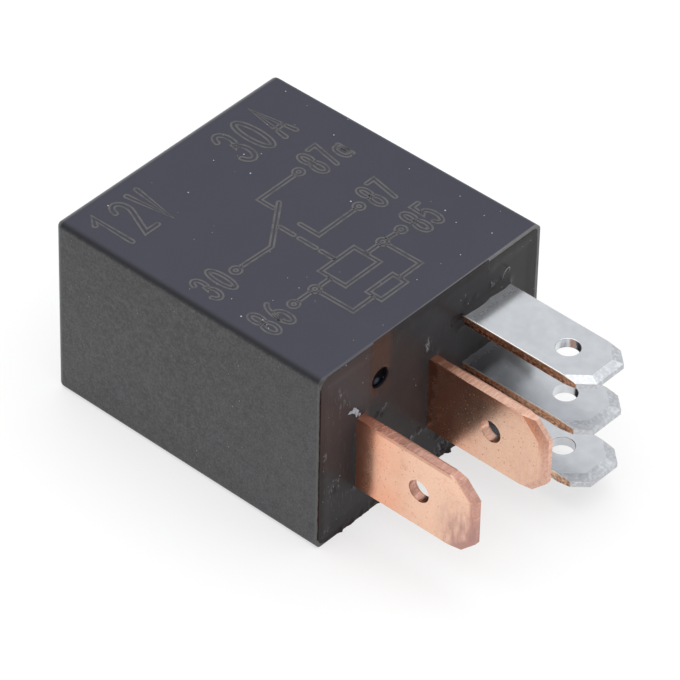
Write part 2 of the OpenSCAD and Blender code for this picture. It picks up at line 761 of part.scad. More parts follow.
cover();
base();
resin_seal();
terminal_30();
terminal_87();
terminal_87a();
terminal_86();
terminal_85();
yoke();
core();
bobbin();
winding();
coil_lead_86();
coil_lead_85();
armature();
contact_spring();
yoke_rivets();
armature_rivets();
moving_contact();
no_contact();
nc_contact();
resistor();
resistor_leads();
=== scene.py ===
# %% [markdown]
# # A sealed automotive changeover relay
#
# The relay is a small plastic box with five flat blades standing out of a
# potted face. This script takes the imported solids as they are, gives each its
# real finish, and adds what is too fine for the solids: the resin's creeping
# surface, the marking on the large face, the turns of the coil and the dirt
# and dust that a used part carries.
#
# Everything is in metres inside Blender. The values below are in millimetres,
# the unit that the part is drawn in, and `MM` turns one into the other.

# %% Tools and the frame
import math

import bmesh
import bpy
from mathutils import Matrix, Vector, noise


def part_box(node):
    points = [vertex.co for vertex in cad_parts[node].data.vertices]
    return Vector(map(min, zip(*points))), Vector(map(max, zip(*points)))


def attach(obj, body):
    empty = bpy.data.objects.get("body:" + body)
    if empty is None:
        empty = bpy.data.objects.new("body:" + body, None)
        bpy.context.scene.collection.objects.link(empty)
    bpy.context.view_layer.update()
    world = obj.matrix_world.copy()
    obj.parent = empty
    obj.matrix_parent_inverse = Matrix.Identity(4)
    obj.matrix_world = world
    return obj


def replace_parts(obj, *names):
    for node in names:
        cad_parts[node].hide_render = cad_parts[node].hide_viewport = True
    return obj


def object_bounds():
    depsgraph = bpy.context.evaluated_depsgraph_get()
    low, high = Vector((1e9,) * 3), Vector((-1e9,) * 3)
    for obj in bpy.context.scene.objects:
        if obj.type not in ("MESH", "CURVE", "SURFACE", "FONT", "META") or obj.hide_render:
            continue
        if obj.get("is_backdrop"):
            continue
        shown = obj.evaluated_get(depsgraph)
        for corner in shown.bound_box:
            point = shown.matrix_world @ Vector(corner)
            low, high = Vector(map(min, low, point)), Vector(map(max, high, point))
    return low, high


MM = 0.001
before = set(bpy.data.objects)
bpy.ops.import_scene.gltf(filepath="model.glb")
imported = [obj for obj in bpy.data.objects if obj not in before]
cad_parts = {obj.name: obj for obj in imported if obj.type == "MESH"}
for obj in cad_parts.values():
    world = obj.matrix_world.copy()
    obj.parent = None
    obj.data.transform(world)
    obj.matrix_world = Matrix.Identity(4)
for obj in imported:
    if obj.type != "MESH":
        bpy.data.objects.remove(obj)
cad_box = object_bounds()
RELAY = "relay"


def span(node):
    """Lowest and highest corner of a solid, in millimetres."""
    low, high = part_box(node)
    return Vector(low) / MM, Vector(high) / MM


def told(what, *facts):
    print(f"{what}:", *facts)


COVER_LOW, COVER_HIGH = span("cover")
RIM = COVER_HIGH.x
HALF_W = COVER_HIGH.y
TOP = COVER_HIGH.z
BODY_L = RIM - COVER_LOW.x
DRAFT = 0.15
told("cover, mm", [round(v, 2) for v in (*COVER_LOW, *COVER_HIGH)])

# %% [markdown]
# ## The camera
#
# The part is looked at from the terminal side, from above and to the left of
# the blades, with a long lens about 400 mm away, so that the box is drawn
# with little perspective. The camera leans by a degree or so, as a hand-set
# product shot does.

# %% The camera
CAMERA_AT = Vector((198.23, -229.61, 272.15))
CAMERA_AZIMUTH, CAMERA_ELEVATION, CAMERA_LEAN = 41.019, 41.072, 1.364
LENS_MM, SENSOR_MM = 306.93, 36.0


def camera_turn(azimuth, elevation, lean):
    """The camera's rotation: it looks against `back`, turned by `lean` round it."""
    az, el, roll = (math.radians(a) for a in (azimuth, elevation, lean))
    back = Vector((math.sin(az) * math.cos(el), -math.cos(az) * math.cos(el), math.sin(el)))
    level = Vector((math.cos(az), math.sin(az), 0))
    right = math.cos(roll) * level + math.sin(roll) * back.cross(level)
    return Matrix((right, back.cross(right), back)).transposed()


camera = bpy.data.objects.new("camera", bpy.data.cameras.new("camera"))
camera.data.lens = LENS_MM
camera.data.sensor_width = SENSOR_MM
camera.data.clip_start, camera.data.clip_end = 0.01, 10
camera.matrix_world = (
    Matrix.Translation(CAMERA_AT * MM)
    @ camera_turn(CAMERA_AZIMUTH, CAMERA_ELEVATION, CAMERA_LEAN).to_4x4()
)
bpy.context.scene.collection.objects.link(camera)
bpy.context.scene.camera = camera
told("camera at, mm", [round(v, 1) for v in CAMERA_AT])

# %% [markdown]
# ## How a finish is mixed
#
# A finish is a small sum of things that vary over the surface: clouds, specks,
# bands at a height. `Amount` holds one such thing as a socket and lets it be
# added, multiplied and compared with Python's own signs, so that each finish
# below reads as the sum that it is. `Finish` keeps one material's nodes, and
# `node` adds any other node: its kind, its settings, then its inputs.

# %% Shader sums
class Amount:
    """A number that varies over a surface, held as a shader socket."""

    def __init__(self, finish, socket):
        self.finish, self.socket = finish, socket

    def sum(self, operation, *others, clamp=False):
        parts = dict(enumerate((self, *others)))
        settings = {"operation": operation, "use_clamp": clamp}
        return Amount(self.finish, self.finish.node("ShaderNodeMath", settings, parts).outputs[0])

    def turned(self, operation, other):
        parts = {0: other, 1: self}
        made = self.finish.node("ShaderNodeMath", {"operation": operation}, parts)
        return Amount(self.finish, made.outputs[0])

    __add__ = __radd__ = lambda self, other: self.sum("ADD", other)
    __mul__ = __rmul__ = lambda self, other: self.sum("MULTIPLY", other)
    __sub__ = lambda self, other: self.sum("SUBTRACT", other)
    __rsub__ = lambda self, other: self.turned("SUBTRACT", other)
    __truediv__ = lambda self, other: self.sum("DIVIDE", other)
    __rtruediv__ = lambda self, other: self.turned("DIVIDE", other)
    __pow__ = lambda self, other: self.sum("POWER", other)
    __rpow__ = lambda self, other: self.turned("POWER", other)
    __gt__ = lambda self, other: self.sum("GREATER_THAN", other)
    __lt__ = lambda self, other: self.sum("LESS_THAN", other)
    __neg__ = lambda self: self.sum("MULTIPLY", -1.0)
    __abs__ = lambda self: self.sum("ABSOLUTE")

    def least(self, other):
        return self.sum("MINIMUM", other)

    def most(self, other):
        return self.sum("MAXIMUM", other)

    def held(self):
        """Kept between 0 and 1."""
        return self.sum("ADD", 0.0, clamp=True)

    def rise(self, low, high):
        """0 below `low`, 1 above `high`, and an even slope between."""
        return ((self - low) / (high - low)).held()

    def soft_rise(self, low, high):
        """The same with its two ends eased."""
        t = self.rise(low, high)
        return t * t * (3.0 - 2.0 * t)


class Mixer:
    """A node tree and the one way in which a node is added to it."""

    def __init__(self, tree):
        self.tree = tree
        tree.nodes.clear()

    def node(self, kind, settings=None, inputs=None):
        made = self.tree.nodes.new(kind)
        for name, value in (settings or {}).items():
            setattr(made, name, value)
        for name, value in (inputs or {}).items():
            self.feed(made.inputs[name], value)
        return made

    def feed(self, socket, value):
        value = getattr(value, "socket", value)
        if isinstance(value, bpy.types.NodeSocket):
            self.tree.links.new(value, socket)
        elif socket.type == "RGBA":
            socket.default_value = (*value, 1.0)[:4]
        else:
            socket.default_value = value

    def parts_of(self, vector):
        """The three parts of a vector as Amounts."""
        parts = self.node("ShaderNodeSeparateXYZ", None, {0: vector}).outputs
        return [Amount(self, part) for part in parts]


class Finish(Mixer):
    """One material: a Principled surface whose inputs are mixed from Amounts."""

    def __init__(self, name, **uniform):
        self.material = bpy.data.materials.new(name)
        self.material.use_nodes = True
        super().__init__(self.material.node_tree)
        self.surface = self.node("ShaderNodeBsdfPrincipled")
        self.node("ShaderNodeOutputMaterial", None, {"Surface": self.surface.outputs[0]})
        object_place = self.node("ShaderNodeTexCoord").outputs["Object"]
        self.place = self.node(
            "ShaderNodeVectorMath", {"operation": "SCALE"}, {0: object_place, "Scale": 1 / MM}
        ).outputs[0]
        self.x, self.y, self.z = self.parts_of(self.place)
        self.set(**uniform)

    def set(self, **inputs):
        """Surface inputs by name, with _ for a space: base_color, coat_weight."""
        for name, value in inputs.items():
            title = name.replace("_", " ").title().replace("Ior", "IOR")
            self.feed(self.surface.inputs[title], value)
        return self

    def stretched(self, size, stretch, shift):
        scale = tuple(1 / (size * s) for s in stretch)
        scaled = self.node("ShaderNodeVectorMath", {"operation": "MULTIPLY"}, {0: self.place, 1: scale})
        by = (shift, shift * 0.7, -shift)
        moved = self.node("ShaderNodeVectorMath", {"operation": "ADD"}, {0: scaled.outputs[0], 1: by})
        return moved.outputs[0]

    def clouds(self, size, detail=2.0, stretch=(1, 1, 1), shift=0.0):
        """Soft random clouds about `size` millimetres across, from 0 to 1."""
        inputs = {"Vector": self.stretched(size, stretch, shift), "Scale": 1.0, "Detail": detail}
        return Amount(self, self.node("ShaderNodeTexNoise", None, inputs).outputs[0])

    def specks(self, spacing, radius, share, stretch=(1, 1, 1), shift=0.0):
        """1 inside small round specks, in a `share` of the cells that they sit in."""
        inputs = {"Vector": self.stretched(spacing, stretch, shift), "Scale": 1.0}
        cells = self.node("ShaderNodeTexVoronoi", None, inputs)
        chance = self.node("ShaderNodeSeparateColor", None, {0: cells.outputs["Color"]})
        distance = Amount(self, cells.outputs["Distance"])
        chosen = Amount(self, chance.outputs[0]) < share
        size = Amount(self, chance.outputs[1]) * 0.6 + 0.4
        return chosen * (1.0 - distance.rise(0.6 * radius, radius) / size).held()

    def blend(self, factor, colour, other):
        """A colour: the first where factor is 0, the other where it is 1."""
        mixed = self.node(
            "ShaderNodeMix", {"data_type": "RGBA", "clamp_factor": True}, {0: factor, 6: colour, 7: other}
        )
        return mixed.outputs[2]

    def coated(self, tone, *coats):
        """The tone with other colours laid over it, each by its own factor."""
        for factor, colour in coats:
            tone = self.blend(factor, tone, colour)
        return tone

    def bumped(self, height, depth):
        """A normal from a height from 0 to 1 that is `depth` millimetres high."""
        return self.node(
            "ShaderNodeBump", None, {"Strength": 1.0, "Distance": depth * MM, "Height": height}
        ).outputs[0]


# %% [markdown]
# ## The table and the light
#
# A small glossy part is shown on pale paper in a light tent: the walls behind it
# are bright, the side where one stands is dim, and one large box hangs above.
# Black plastic then keeps its colour, its near edges draw dark lines, which the
# cover's finish deepens with a painted shade, and the blades mirror the paper and
# the far wall. Camera rays see the room white, and camera and mirrored rays see
# the paper partly as plain white too.

# %% The table and the light
PAPER = (0.94, 0.94, 0.935)
WHITE_SHARE = 0.6
NEAR_WALL, FAR_WALL = 0.34, 0.86
ROOM_COLOUR = (0.97, 0.985, 1.0)


def ray_seen(tree, *kinds):
    """1 for the kinds of ray that show the room itself, not its light."""
    paths = tree.node("ShaderNodeLightPath").outputs
    first, *others = [Amount(tree, paths[kind]) for kind in kinds]
    for other in others:
        first = first.most(other)
    return first


def paper():
    """Pale paper with a share of plain white, so that a shadow on it stays light."""
    f = Finish("paper", base_color=PAPER, roughness=0.9, specular_ior_level=0.0)
    white = f.node("ShaderNodeEmission", None, {"Color": (1, 1, 1), "Strength": 1.0})
    share = ray_seen(f, "Is Camera Ray", "Is Glossy Ray") * WHITE_SHARE
    mixed = f.node("ShaderNodeMixShader", None, {0: share, 1: f.surface.outputs[0], 2: white.outputs[0]})
    f.node("ShaderNodeOutputMaterial", None, {"Surface": mixed.outputs[0]}).is_active_output = True
    return f.material


def paper_floor():
    half = 1.5
    mesh = bpy.data.meshes.new("floor")
    mesh.from_pydata(
        [(-half, -half, 0), (half, -half, 0), (half, half, 0), (-half, half, 0)], [], [(0, 1, 2, 3)]
    )
    floor = bpy.data.objects.new("floor", mesh)
    bpy.context.scene.collection.objects.link(floor)
    mesh.materials.append(paper())
    floor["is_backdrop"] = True
    return floor


def soft_box(name, at, towards, size, power, colour=(1, 1, 1)):
    light = bpy.data.lights.new(name, "AREA")
    light.shape, light.size, light.size_y = "RECTANGLE", size[0] * MM, size[1] * MM
    light.energy, light.color = power, colour
    made = bpy.data.objects.new(name, light)
    direction = (Vector(towards) - Vector(at)) * MM
    turn = direction.to_track_quat("-Z", "Y").to_matrix().to_4x4()
    made.matrix_world = Matrix.Translation(Vector(at) * MM) @ turn
    bpy.context.scene.collection.objects.link(made)
    return made


def room_light():
    """The tent: dim towards -Y, where one stands, and bright beyond the part."""
    world = bpy.data.worlds.new("room")
    bpy.context.scene.world = world
    world.use_nodes = True
    room = Mixer(world.node_tree)
    x, y, z = room.parts_of(room.node("ShaderNodeTexCoord").outputs["Generated"])
    beyond = (y * 0.8 - x * 0.35 + z * 0.35).soft_rise(-0.45, 0.45)
    strength = beyond * (FAR_WALL - NEAR_WALL) + NEAR_WALL
    lit = room.node("ShaderNodeBackground", None, {"Color": ROOM_COLOUR, "Strength": strength})
    seen = room.node("ShaderNodeBackground", None, {"Color": (1, 1, 1), "Strength": 1.0})
    share = ray_seen(room, "Is Camera Ray")
    mixed = room.node("ShaderNodeMixShader", None, {0: share, 1: lit.outputs[0], 2: seen.outputs[0]})
    room.node("ShaderNodeOutputWorld", None, {"Surface": mixed.outputs[0]})


paper_floor()
room_light()
soft_box("box_above", (60, -100, 700), (60, -100, 0), (1000, 1000), 4.4)
bpy.context.scene.view_settings.view_transform = "Standard"

# %% [markdown]
# ## The plastics
#
# The cover is one moulding of dark glass-filled plastic. Its large faces come
# from a polished mould and its sides from a spark-eroded one, so the faces are
# smooth and the sides have a fine grain. A bluish sheen is painted into the
# faces' colour, and the finish also paints a shade along the near crease,
# highlights along the closed end's rounded edges and along the rim, and a side
# that is lighter towards the bottom. Fine white dust clings to faces and sides.
# The grain could be cut as geometry, but it is finer than a tenth of a
# millimetre, so a bump in the finish is the right size for it.

# %% The plastics
# The large faces' colour: their dark tone with a painted bluish sheen.
FACE_TONE_BLUE_SHEEN = (0.0165, 0.0172, 0.034)
# Colour of the painted highlight on the closed end's rounded edges.
END_EDGE_HIGHLIGHT = (0.15, 0.15, 0.15)
# Colour of the painted highlight along the rim's edge.
RIM_HIGHLIGHT = (0.135, 0.130, 0.128)
DUST = (0.55, 0.56, 0.58)


def cover_plastic():
    f = Finish("cover_plastic")
    from_end = f.x - COVER_LOW.x
    from_top = TOP - DRAFT / BODY_L * (RIM - f.x) - f.z
    from_side = HALF_W - DRAFT / BODY_L * (RIM - f.x) - abs(f.y)
    on_face = 1.0 - from_top.soft_rise(0.10, 0.34)
    rounded = 1.0 - from_top.least(from_side).soft_rise(0.22, 0.46)
    # A painted highlight along the closed end's rounded edges, where they mirror the bright floor.
    end_edge_highlight = (1.0 - from_end.soft_rise(0.2, 0.55)) * rounded
    # A painted highlight along the rim's edge, stronger towards +y.
    rim_edge_highlight = (f.x.soft_rise(RIM - 0.24, RIM - 0.12)) * (0.35 + 0.65 * f.y.soft_rise(-9.0, 6.0))
    # A painted shade along the near edge where the large face meets the -Y side.
    painted_crease_shade = (1.0 - from_top.soft_rise(0.06, 0.5)) * (1.0 - from_side.soft_rise(0.1, 0.62)) * (f.y < 0.0)
    grain = f.clouds(0.17, 2.0)
    coarse = f.clouds(0.5, 3.0, shift=6.0)
    fine = f.clouds(0.07, 2.0, shift=4.0)
    blotch = f.clouds(4.0, 3.0, shift=2.0)
    dust = f.specks(0.9, 0.085, 0.12).most(f.specks(0.42, 0.11, 0.04, shift=9.0) * 0.6)
    # The side's grain, and painted shading that makes the side lighter towards the bottom.
    side_grain_and_shading = (grain - 0.36) * 2.0 + (coarse - 0.5) + from_top * (0.3 / TOP)
    side_tone = f.blend(side_grain_and_shading, (0.028, 0.027, 0.029), (0.080, 0.079, 0.084))
    tone = f.blend(on_face, side_tone, FACE_TONE_BLUE_SHEEN)
    tone = f.coated(
        tone,
        ((blotch - 0.5) * 0.2 + (fine - 0.5) * 0.3, (0.085, 0.087, 0.095)),
        (painted_crease_shade * 0.8, (0.003, 0.003, 0.004)),
        (end_edge_highlight * (0.5 + coarse * 0.6), END_EDGE_HIGHLIGHT),
        (rim_edge_highlight * (0.5 + coarse * 0.7), RIM_HIGHLIGHT),
    )
    knocked = ((f.x - RIM + 0.45) / 0.45) ** 2.0 + ((f.z - 2.3) / 1.1) ** 2.0
    nicks = f.clouds(0.16, 2.0, stretch=(3.0, 1.0, 0.7), shift=13.0).soft_rise(0.56, 0.66)
    nicks = nicks * (1.0 - knocked).held() * (f.y < 0.0)
    tone = f.blend(nicks * 0.9, tone, (0.006, 0.006, 0.006))
    f.set(
        base_color=f.blend(dust * 0.75, tone, DUST),
        roughness=0.5 - 0.08 * on_face + (blotch - 0.5) * 0.08 + painted_crease_shade * 0.3,
        normal=f.bumped(grain * (1.0 - 0.8 * on_face) + fine * 0.3, 0.016),
    )
    return f.material


def base_plastic():
    f = Finish("base_plastic", roughness=0.5)
    f.set(base_color=f.blend(f.clouds(1.2), (0.022, 0.022, 0.023), (0.035, 0.035, 0.036)))
    return f.material


def bobbin_plastic():
    f = Finish("bobbin_plastic", roughness=0.42)
    f.set(base_color=f.blend(f.clouds(1.5), (0.62, 0.56, 0.42), (0.7, 0.65, 0.52)))
    return f.material


# %% [markdown]
# ## The metals
#
# Blades 30 and 87 are stamped from bare copper strip, and the three narrow
# blades from copper plated with tin before stamping. Rolling leaves fine lines
# along the strip; tumbling rounds the edges and leaves pits. The shears cut
# through the tin, so the narrow blades' edges show brown copper with a bright
# line of dragged tin. The finishes find those edges by their place.

# %% The metals
STRIP_T = 0.8
ROOT_IN = 1.0
HOLE_R = 0.9
WIDE = {"width": 6.3, "tip_w": 3.75, "cut_l": 1.25, "hole_in": 5.0}
NARROW = {"width": 4.8, "tip_w": 2.85, "cut_l": 1.1, "hole_in": 3.8}
COINED, TIP_T = 0.75, 0.4
DISHED = (-1.0, 4.2)
BUMP_DEPTH = 0.006


def coined_band(out, across, reach, form):
    """1 on the coined slope along the tip and the cut corners of a blade."""
    nx, ny = Vector(((form["width"] - form["tip_w"]) / 2, form["cut_l"])).normalized()
    kept = nx * reach + ny * form["tip_w"] / 2 - COINED
    past_cut = (out * nx + across * ny) - kept
    return (out - (reach - COINED)).most(past_cut).soft_rise(-0.06, 0.04)


def dish(out, slope):
    """The slight bow that the punch leaves in a blade, in units of the bump.

    It is steepest, by `slope` degrees, a little past the root. It is too small
    to show in the outline, but it turns what the face mirrors.
    """
    bow = (DISHED[1] - DISHED[0]) / 1.5 * math.tan(math.radians(slope))
    return out.soft_rise(*DISHED) * (-bow / BUMP_DEPTH)


def copper(name, side_y, centre_z, reach, root_dark, wiped_tip, edge_dark, slope):
    """Bare copper strip, with a painted dark reflection of the black resin along its root."""
    f = Finish(name, metallic=1.0)
    out = f.x - RIM
    coined = coined_band(out, abs(f.z - centre_z), reach, WIDE)
    mottled = f.clouds(0.7, 4.0, shift=2.0)
    pits = f.specks(0.34, 0.2, 0.3).most(f.specks(0.2, 0.28, 0.2, shift=5.0))
    stain = f.clouds(2.6, 4.0, shift=3.0)
    ragged = out + (f.clouds(0.6, 3.0, shift=8.0) - 0.5) * 1.3 - (f.z - centre_z) * 0.12
    # A painted dark reflection of the black resin along the root, with a ragged edge.
    painted_dark_root = 1.0 - ragged.soft_rise(root_dark * 0.7, root_dark * 1.3)
    wiped = f.clouds(0.36, 2.0, stretch=(1.0, 1.0, 4.0), shift=6.0).rise(0.3, 0.62)
    low_half = (centre_z + 0.4 - f.z).rise(-1.5, 1.5)
    tip_stain = (wiped * 0.7 + 0.3) * out.soft_rise(reach - 4.2, reach - 1.2) * stain * low_half * wiped_tip
    off_middle = abs(f.y - side_y)
    on_cut = off_middle.soft_rise(0.38, 0.30)
    # A painted shade along the rounded edge between the face and the cut.
    round_edge_shade = off_middle.soft_rise(0.24, 0.32) * off_middle.soft_rise(0.397, 0.375) * (1.0 - coined)
    ridges = f.clouds(0.16, 2.0, stretch=(0.8, 4.0, 1.2), shift=4.0).soft_rise(0.38, 0.6)
    tone = f.blend(out.soft_rise(1.2, 6.0), (0.95, 0.40, 0.24), (0.92, 0.60, 0.44))
    tone = f.coated(
        tone,
        (stain.rise(0.35, 0.75) * 0.5, (0.95, 0.66, 0.50)),
        (mottled.soft_rise(0.55, 0.75) * 0.4, (0.80, 0.42, 0.28)),
        ((f.clouds(0.09, 2.0, shift=11.0) - 0.42) * 1.2, (0.78, 0.43, 0.29)),
    )
    edge_tone = f.blend(out.soft_rise(0.5, 7.5), (0.34, 0.14, 0.10), (0.58, 0.31, 0.25))
    edge_tone = f.blend((ridges * 0.8 - edge_dark * 0.5).held(), edge_tone, (0.88, 0.58, 0.46))
    tone = f.coated(
        tone,
        (on_cut * (0.45 + 0.5 * edge_dark), edge_tone),
        (round_edge_shade * (0.4 + stain * 0.5) * (0.5 + 0.5 * edge_dark), (0.36, 0.15, 0.10)),
    )
    half_w = WIDE["width"] / 2
    by_top = (f.z - centre_z).soft_rise(half_w - 0.36, half_w - 0.14) * (1.0 - on_cut) * (1.0 - coined)
    tone = f.coated(
        tone,
        (by_top * (0.25 + stain * 0.5) * edge_dark, (0.45, 0.20, 0.14)),
        (painted_dark_root * 0.8, (0.36, 0.15, 0.10)),
        (tip_stain, (0.48, 0.27, 0.24)),
    )
    rough = f.clouds(0.22, 3.0, shift=1.0) * (0.22 + coined * 0.2)
    relief = rough - pits * (0.25 + 0.7 * out.rise(2.5, 5.5)) + ridges * on_cut * 0.9
    f.set(
        base_color=f.blend(pits * 0.6, tone, (0.56, 0.27, 0.17)),
        roughness=0.2 + (mottled - 0.5) * 0.12 + pits * 0.15 + painted_dark_root * 0.13 + coined * 0.12 + on_cut * 0.1,
        normal=f.bumped(relief + dish(out, slope), BUMP_DEPTH),
    )
    return f.material


def tin(name, centre_y, centre_z, reach, slope):
    """Tin-plated strip: satin grey faces, and cut edges where copper shows, with a painted shadow on the
    lower part of the cut.
    """
    f = Finish(name, metallic=1.0)
    out, half_w = f.x - RIM, NARROW["width"] / 2
    coined = coined_band(out, abs(f.y - centre_y), reach, NARROW)
    satin = f.clouds(0.16, 2.0, shift=3.0)
    soft = f.clouds(0.9, 3.0, shift=1.0)
    crinkle = f.clouds(0.26, 3.0, shift=7.0)
    pits = f.specks(0.5, 0.16, 0.18)
    cut = (abs(f.y - centre_y)).soft_rise(half_w - 0.05, half_w - 0.015)
    haze = (1.0 - (out + (soft - 0.5) * 0.5).soft_rise(-0.2, 1.5)) * (1.0 - cut)
    flux_dots = f.specks(0.2, 0.3, 0.3, shift=6.0) * haze
    height = f.z - centre_z + (f.clouds(0.35, 3.0, stretch=(2.5, 1, 1), shift=5.0) - 0.5) * 0.22
    burr = height.soft_rise(0.27, 0.33).most(1.0 - height.soft_rise(-0.38, -0.33))
    # A painted shadow on the lower part of the cut edge, strongest near the root.
    lower_cut_shadow = height.soft_rise(0.02, -0.12) * (1.0 - out.rise(2.0, 9.0) * 0.5)
    torn = f.clouds(0.16, 3.0, stretch=(1.6, 1, 1), shift=9.0)
    brown = f.blend(torn.rise(0.35, 0.65), (0.42, 0.24, 0.15), (0.92, 0.64, 0.46))
    brown = f.blend(lower_cut_shadow * torn.rise(0.65, 0.4), brown, (0.13, 0.09, 0.075))
    tone = f.blend(soft.rise(0.3, 0.7), (0.635, 0.65, 0.68), (0.70, 0.715, 0.735))
    tone = f.coated(
        tone,
        (coined * crinkle.soft_rise(0.3, 0.6), (0.52, 0.53, 0.55)),
        (pits * 0.3, (0.86, 0.86, 0.88)),
        (cut * burr, (0.93, 0.89, 0.80)),
        (flux_dots * 0.8, (0.90, 0.91, 0.94)),
    )
    f.set(
        base_color=f.blend(cut * (1.0 - burr * 0.9), tone, brown),
        roughness=0.19 + (satin - 0.5) * 0.10 + coined * 0.26 + cut * 0.2 + haze * 0.22,
        normal=f.bumped(
            satin * 0.12 + crinkle * (coined * 1.2 + 0.06) + torn * cut * 1.4
            + pits * 0.3 + (flux_dots * 1.5 + crinkle * 0.8) * haze + dish(out, slope), BUMP_DEPTH
        ),
    )
    return f.material


def plain_metal(name, colour, other, roughness, grain=0.5):
    f = Finish(name, metallic=1.0)
    clouds = f.clouds(1.4, 3.0)
    f.set(
        base_color=f.blend(clouds, colour, other),
        roughness=roughness + (f.clouds(grain, 3.0) - 0.5) * 0.14,
        normal=f.bumped(f.clouds(grain, 3.0, shift=2.0), 0.004),
    )
    return f.material


# %% [markdown]
# ## Pieces with soft edges
#
# No stamped or moulded edge is a true corner. The cover keeps its shape and is
# shown by a copy whose edges are rounded by a few hundredths of a millimetre,
# which is what catches the light along them.

# %% Pieces with soft edges
def linked(name, mesh):
    made = bpy.data.objects.new(name, mesh)
    bpy.context.scene.collection.objects.link(made)
    return made


def evaluated(piece):
    """The piece's mesh with its modifiers applied, and no modifier left."""
    bpy.context.view_layer.update()
    graph = bpy.context.evaluated_depsgraph_get()
    mesh = bpy.data.meshes.new_from_object(piece.evaluated_get(graph))
    piece.modifiers.clear()
    old = piece.data
    piece.data = mesh
    if old.users == 0:
        bpy.data.meshes.remove(old)
    return piece


def triangles(piece):
    return sum(len(p.vertices) - 2 for p in piece.data.polygons)


def edges_rounded(piece, radius, steps=2, angle=35, crease=12):
    """Every sharp edge of the piece rounded by `radius` millimetres."""
    bevel = piece.modifiers.new("edge", "BEVEL")
    bevel.width, bevel.segments = radius * MM, steps
    bevel.limit_method, bevel.angle_limit = "ANGLE", math.radians(angle)
    piece.data.materials.append(piece.data.materials[0])
    bevel.material = 1
    piece.data.shade_smooth()
    faces_kept_flat(evaluated(piece).data, math.cos(math.radians(crease)))
    return piece


def faces_kept_flat(mesh, crease):
    """Normals that leave each face flat and turn only across the rounded edges.

    A rounded edge's faces are those with the second material, which is then
    taken off. Faces that meet at less than the crease angle are one surface.
    """
    beside = [[] for _ in mesh.vertices]
    for face in mesh.polygons:
        for v in face.vertices:
            beside[v].append(face)
    normals = []
    for face in mesh.polygons:
        for v in face.vertices:
            around = [f for f in beside[v] if not f.material_index]
            if around and face.material_index:
                like = max(around, key=lambda f: f.normal.dot(face.normal)).normal
            else:
                like = face.normal
            around = [f for f in around if f.normal.dot(like) > crease] or beside[v]
            normals.append(sum((f.normal * f.area for f in around), Vector()).normalized())
    for face in mesh.polygons:
        face.material_index = 0
    mesh.materials.pop(index=1)
    mesh.normals_split_custom_set(normals)


def solid_copy(node):
    """A solid's own mesh as one clean shell, without the lines inside its flat faces."""
    bm = bmesh.new()
    bm.from_mesh(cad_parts[node].data)
    bmesh.ops.remove_doubles(bm, verts=bm.verts, dist=2e-6)
    bmesh.ops.dissolve_limit(bm, angle_limit=math.radians(0.6), verts=bm.verts, edges=bm.edges)
    return bm


def mesh_from(bm, name, material):
    mesh = bpy.data.meshes.new(name)
    bm.to_mesh(mesh)
    bm.free()
    mesh.materials.append(material)
    return mesh


def carried(piece):
    """The piece moves with the relay, and its triangle count is printed."""
    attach(piece, RELAY)
    told(piece.name, triangles(piece), "triangles")
    return piece


def shown_for(piece, nodes):
    """The same for a piece that stands for solids of the frame."""
    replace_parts(carried(piece), *nodes)
    return piece


cover = linked("cover_shown", mesh_from(solid_copy("cover"), "cover_shown", cover_plastic()))
shown_for(edges_rounded(cover, 0.05, crease=20), ["cover"])

# %% [markdown]
# ## The blades
#
# Each blade is punched from 0.8 mm strip: a straight tongue with its two front
# corners cut off, a detent hole that the socket's spring snaps into, and a tip
# coined thinner so that it finds its way in. One function makes the tongue as
# the press does, by outline, then thickness, then coining, then the rounding
# that tumbling gives. Behind the resin the strip goes on to its place inside,
# and that part is the solid's own shape, cut off behind the seal.

# %% The blades
def tongue(bm, reach, width, tip_w, cut_l, hole_in, to_place):
    """The outer part of one blade along +X, put in its place by `to_place`.

    One half of it is laid out face by face, and the other is its mirror image.
    """
    half, thick, thin = width / 2, STRIP_T / 2, TIP_T / 2
    nx, ny = Vector(((width - tip_w) / 2, cut_l)).normalized()
    inner = nx * reach + ny * tip_w / 2 - COINED
    flat_in = reach - COINED
    side = ((inner - ny * half) / nx, half, thick)
    bend = (flat_in, (inner - nx * flat_in) / ny, thick)
    front = (flat_in, 0, thick)
    cut_back, cut_front = (reach - cut_l, half, thin), (reach, tip_w / 2, thin)
    nose = (reach, 0, thin)
    back, back_mid = (-ROOT_IN, half, thick), (-ROOT_IN, 0, thick)
    steps = 28
    turn = [math.pi * k / steps for k in range(steps + 1)]
    hole = [(reach - hole_in - HOLE_R * math.cos(a), HOLE_R * math.sin(a), thick) for a in turn]

    def face(corners):
        bm.faces.new([bm.verts.new(c) for c in corners])

    def under(corner):
        return corner[0], corner[1], -corner[2]

    def wall(a, b):
        face((a, b, under(b), under(a)))

    for turned in (tuple, under):
        face([turned(c) for c in (back_mid, *hole, front, bend, side, back)])
        face([turned(c) for c in (side, bend, cut_front, cut_back)])
        face([turned(c) for c in (bend, front, nose, cut_front)])
    face((back, side, cut_back, under(cut_back), under(side), under(back)))
    for a, b in ((cut_back, cut_front), (cut_front, nose), (back_mid, back), *zip(hole, hole[1:])):
        wall(a, b)
    bmesh.ops.mirror(bm, geom=bm.verts[:] + bm.edges[:] + bm.faces[:], axis="Y", merge_dist=1e-4)
    bmesh.ops.remove_doubles(bm, verts=bm.verts, dist=1e-4)
    for v in bm.verts:
        v.co = to_place(v.co) * MM
    return bm


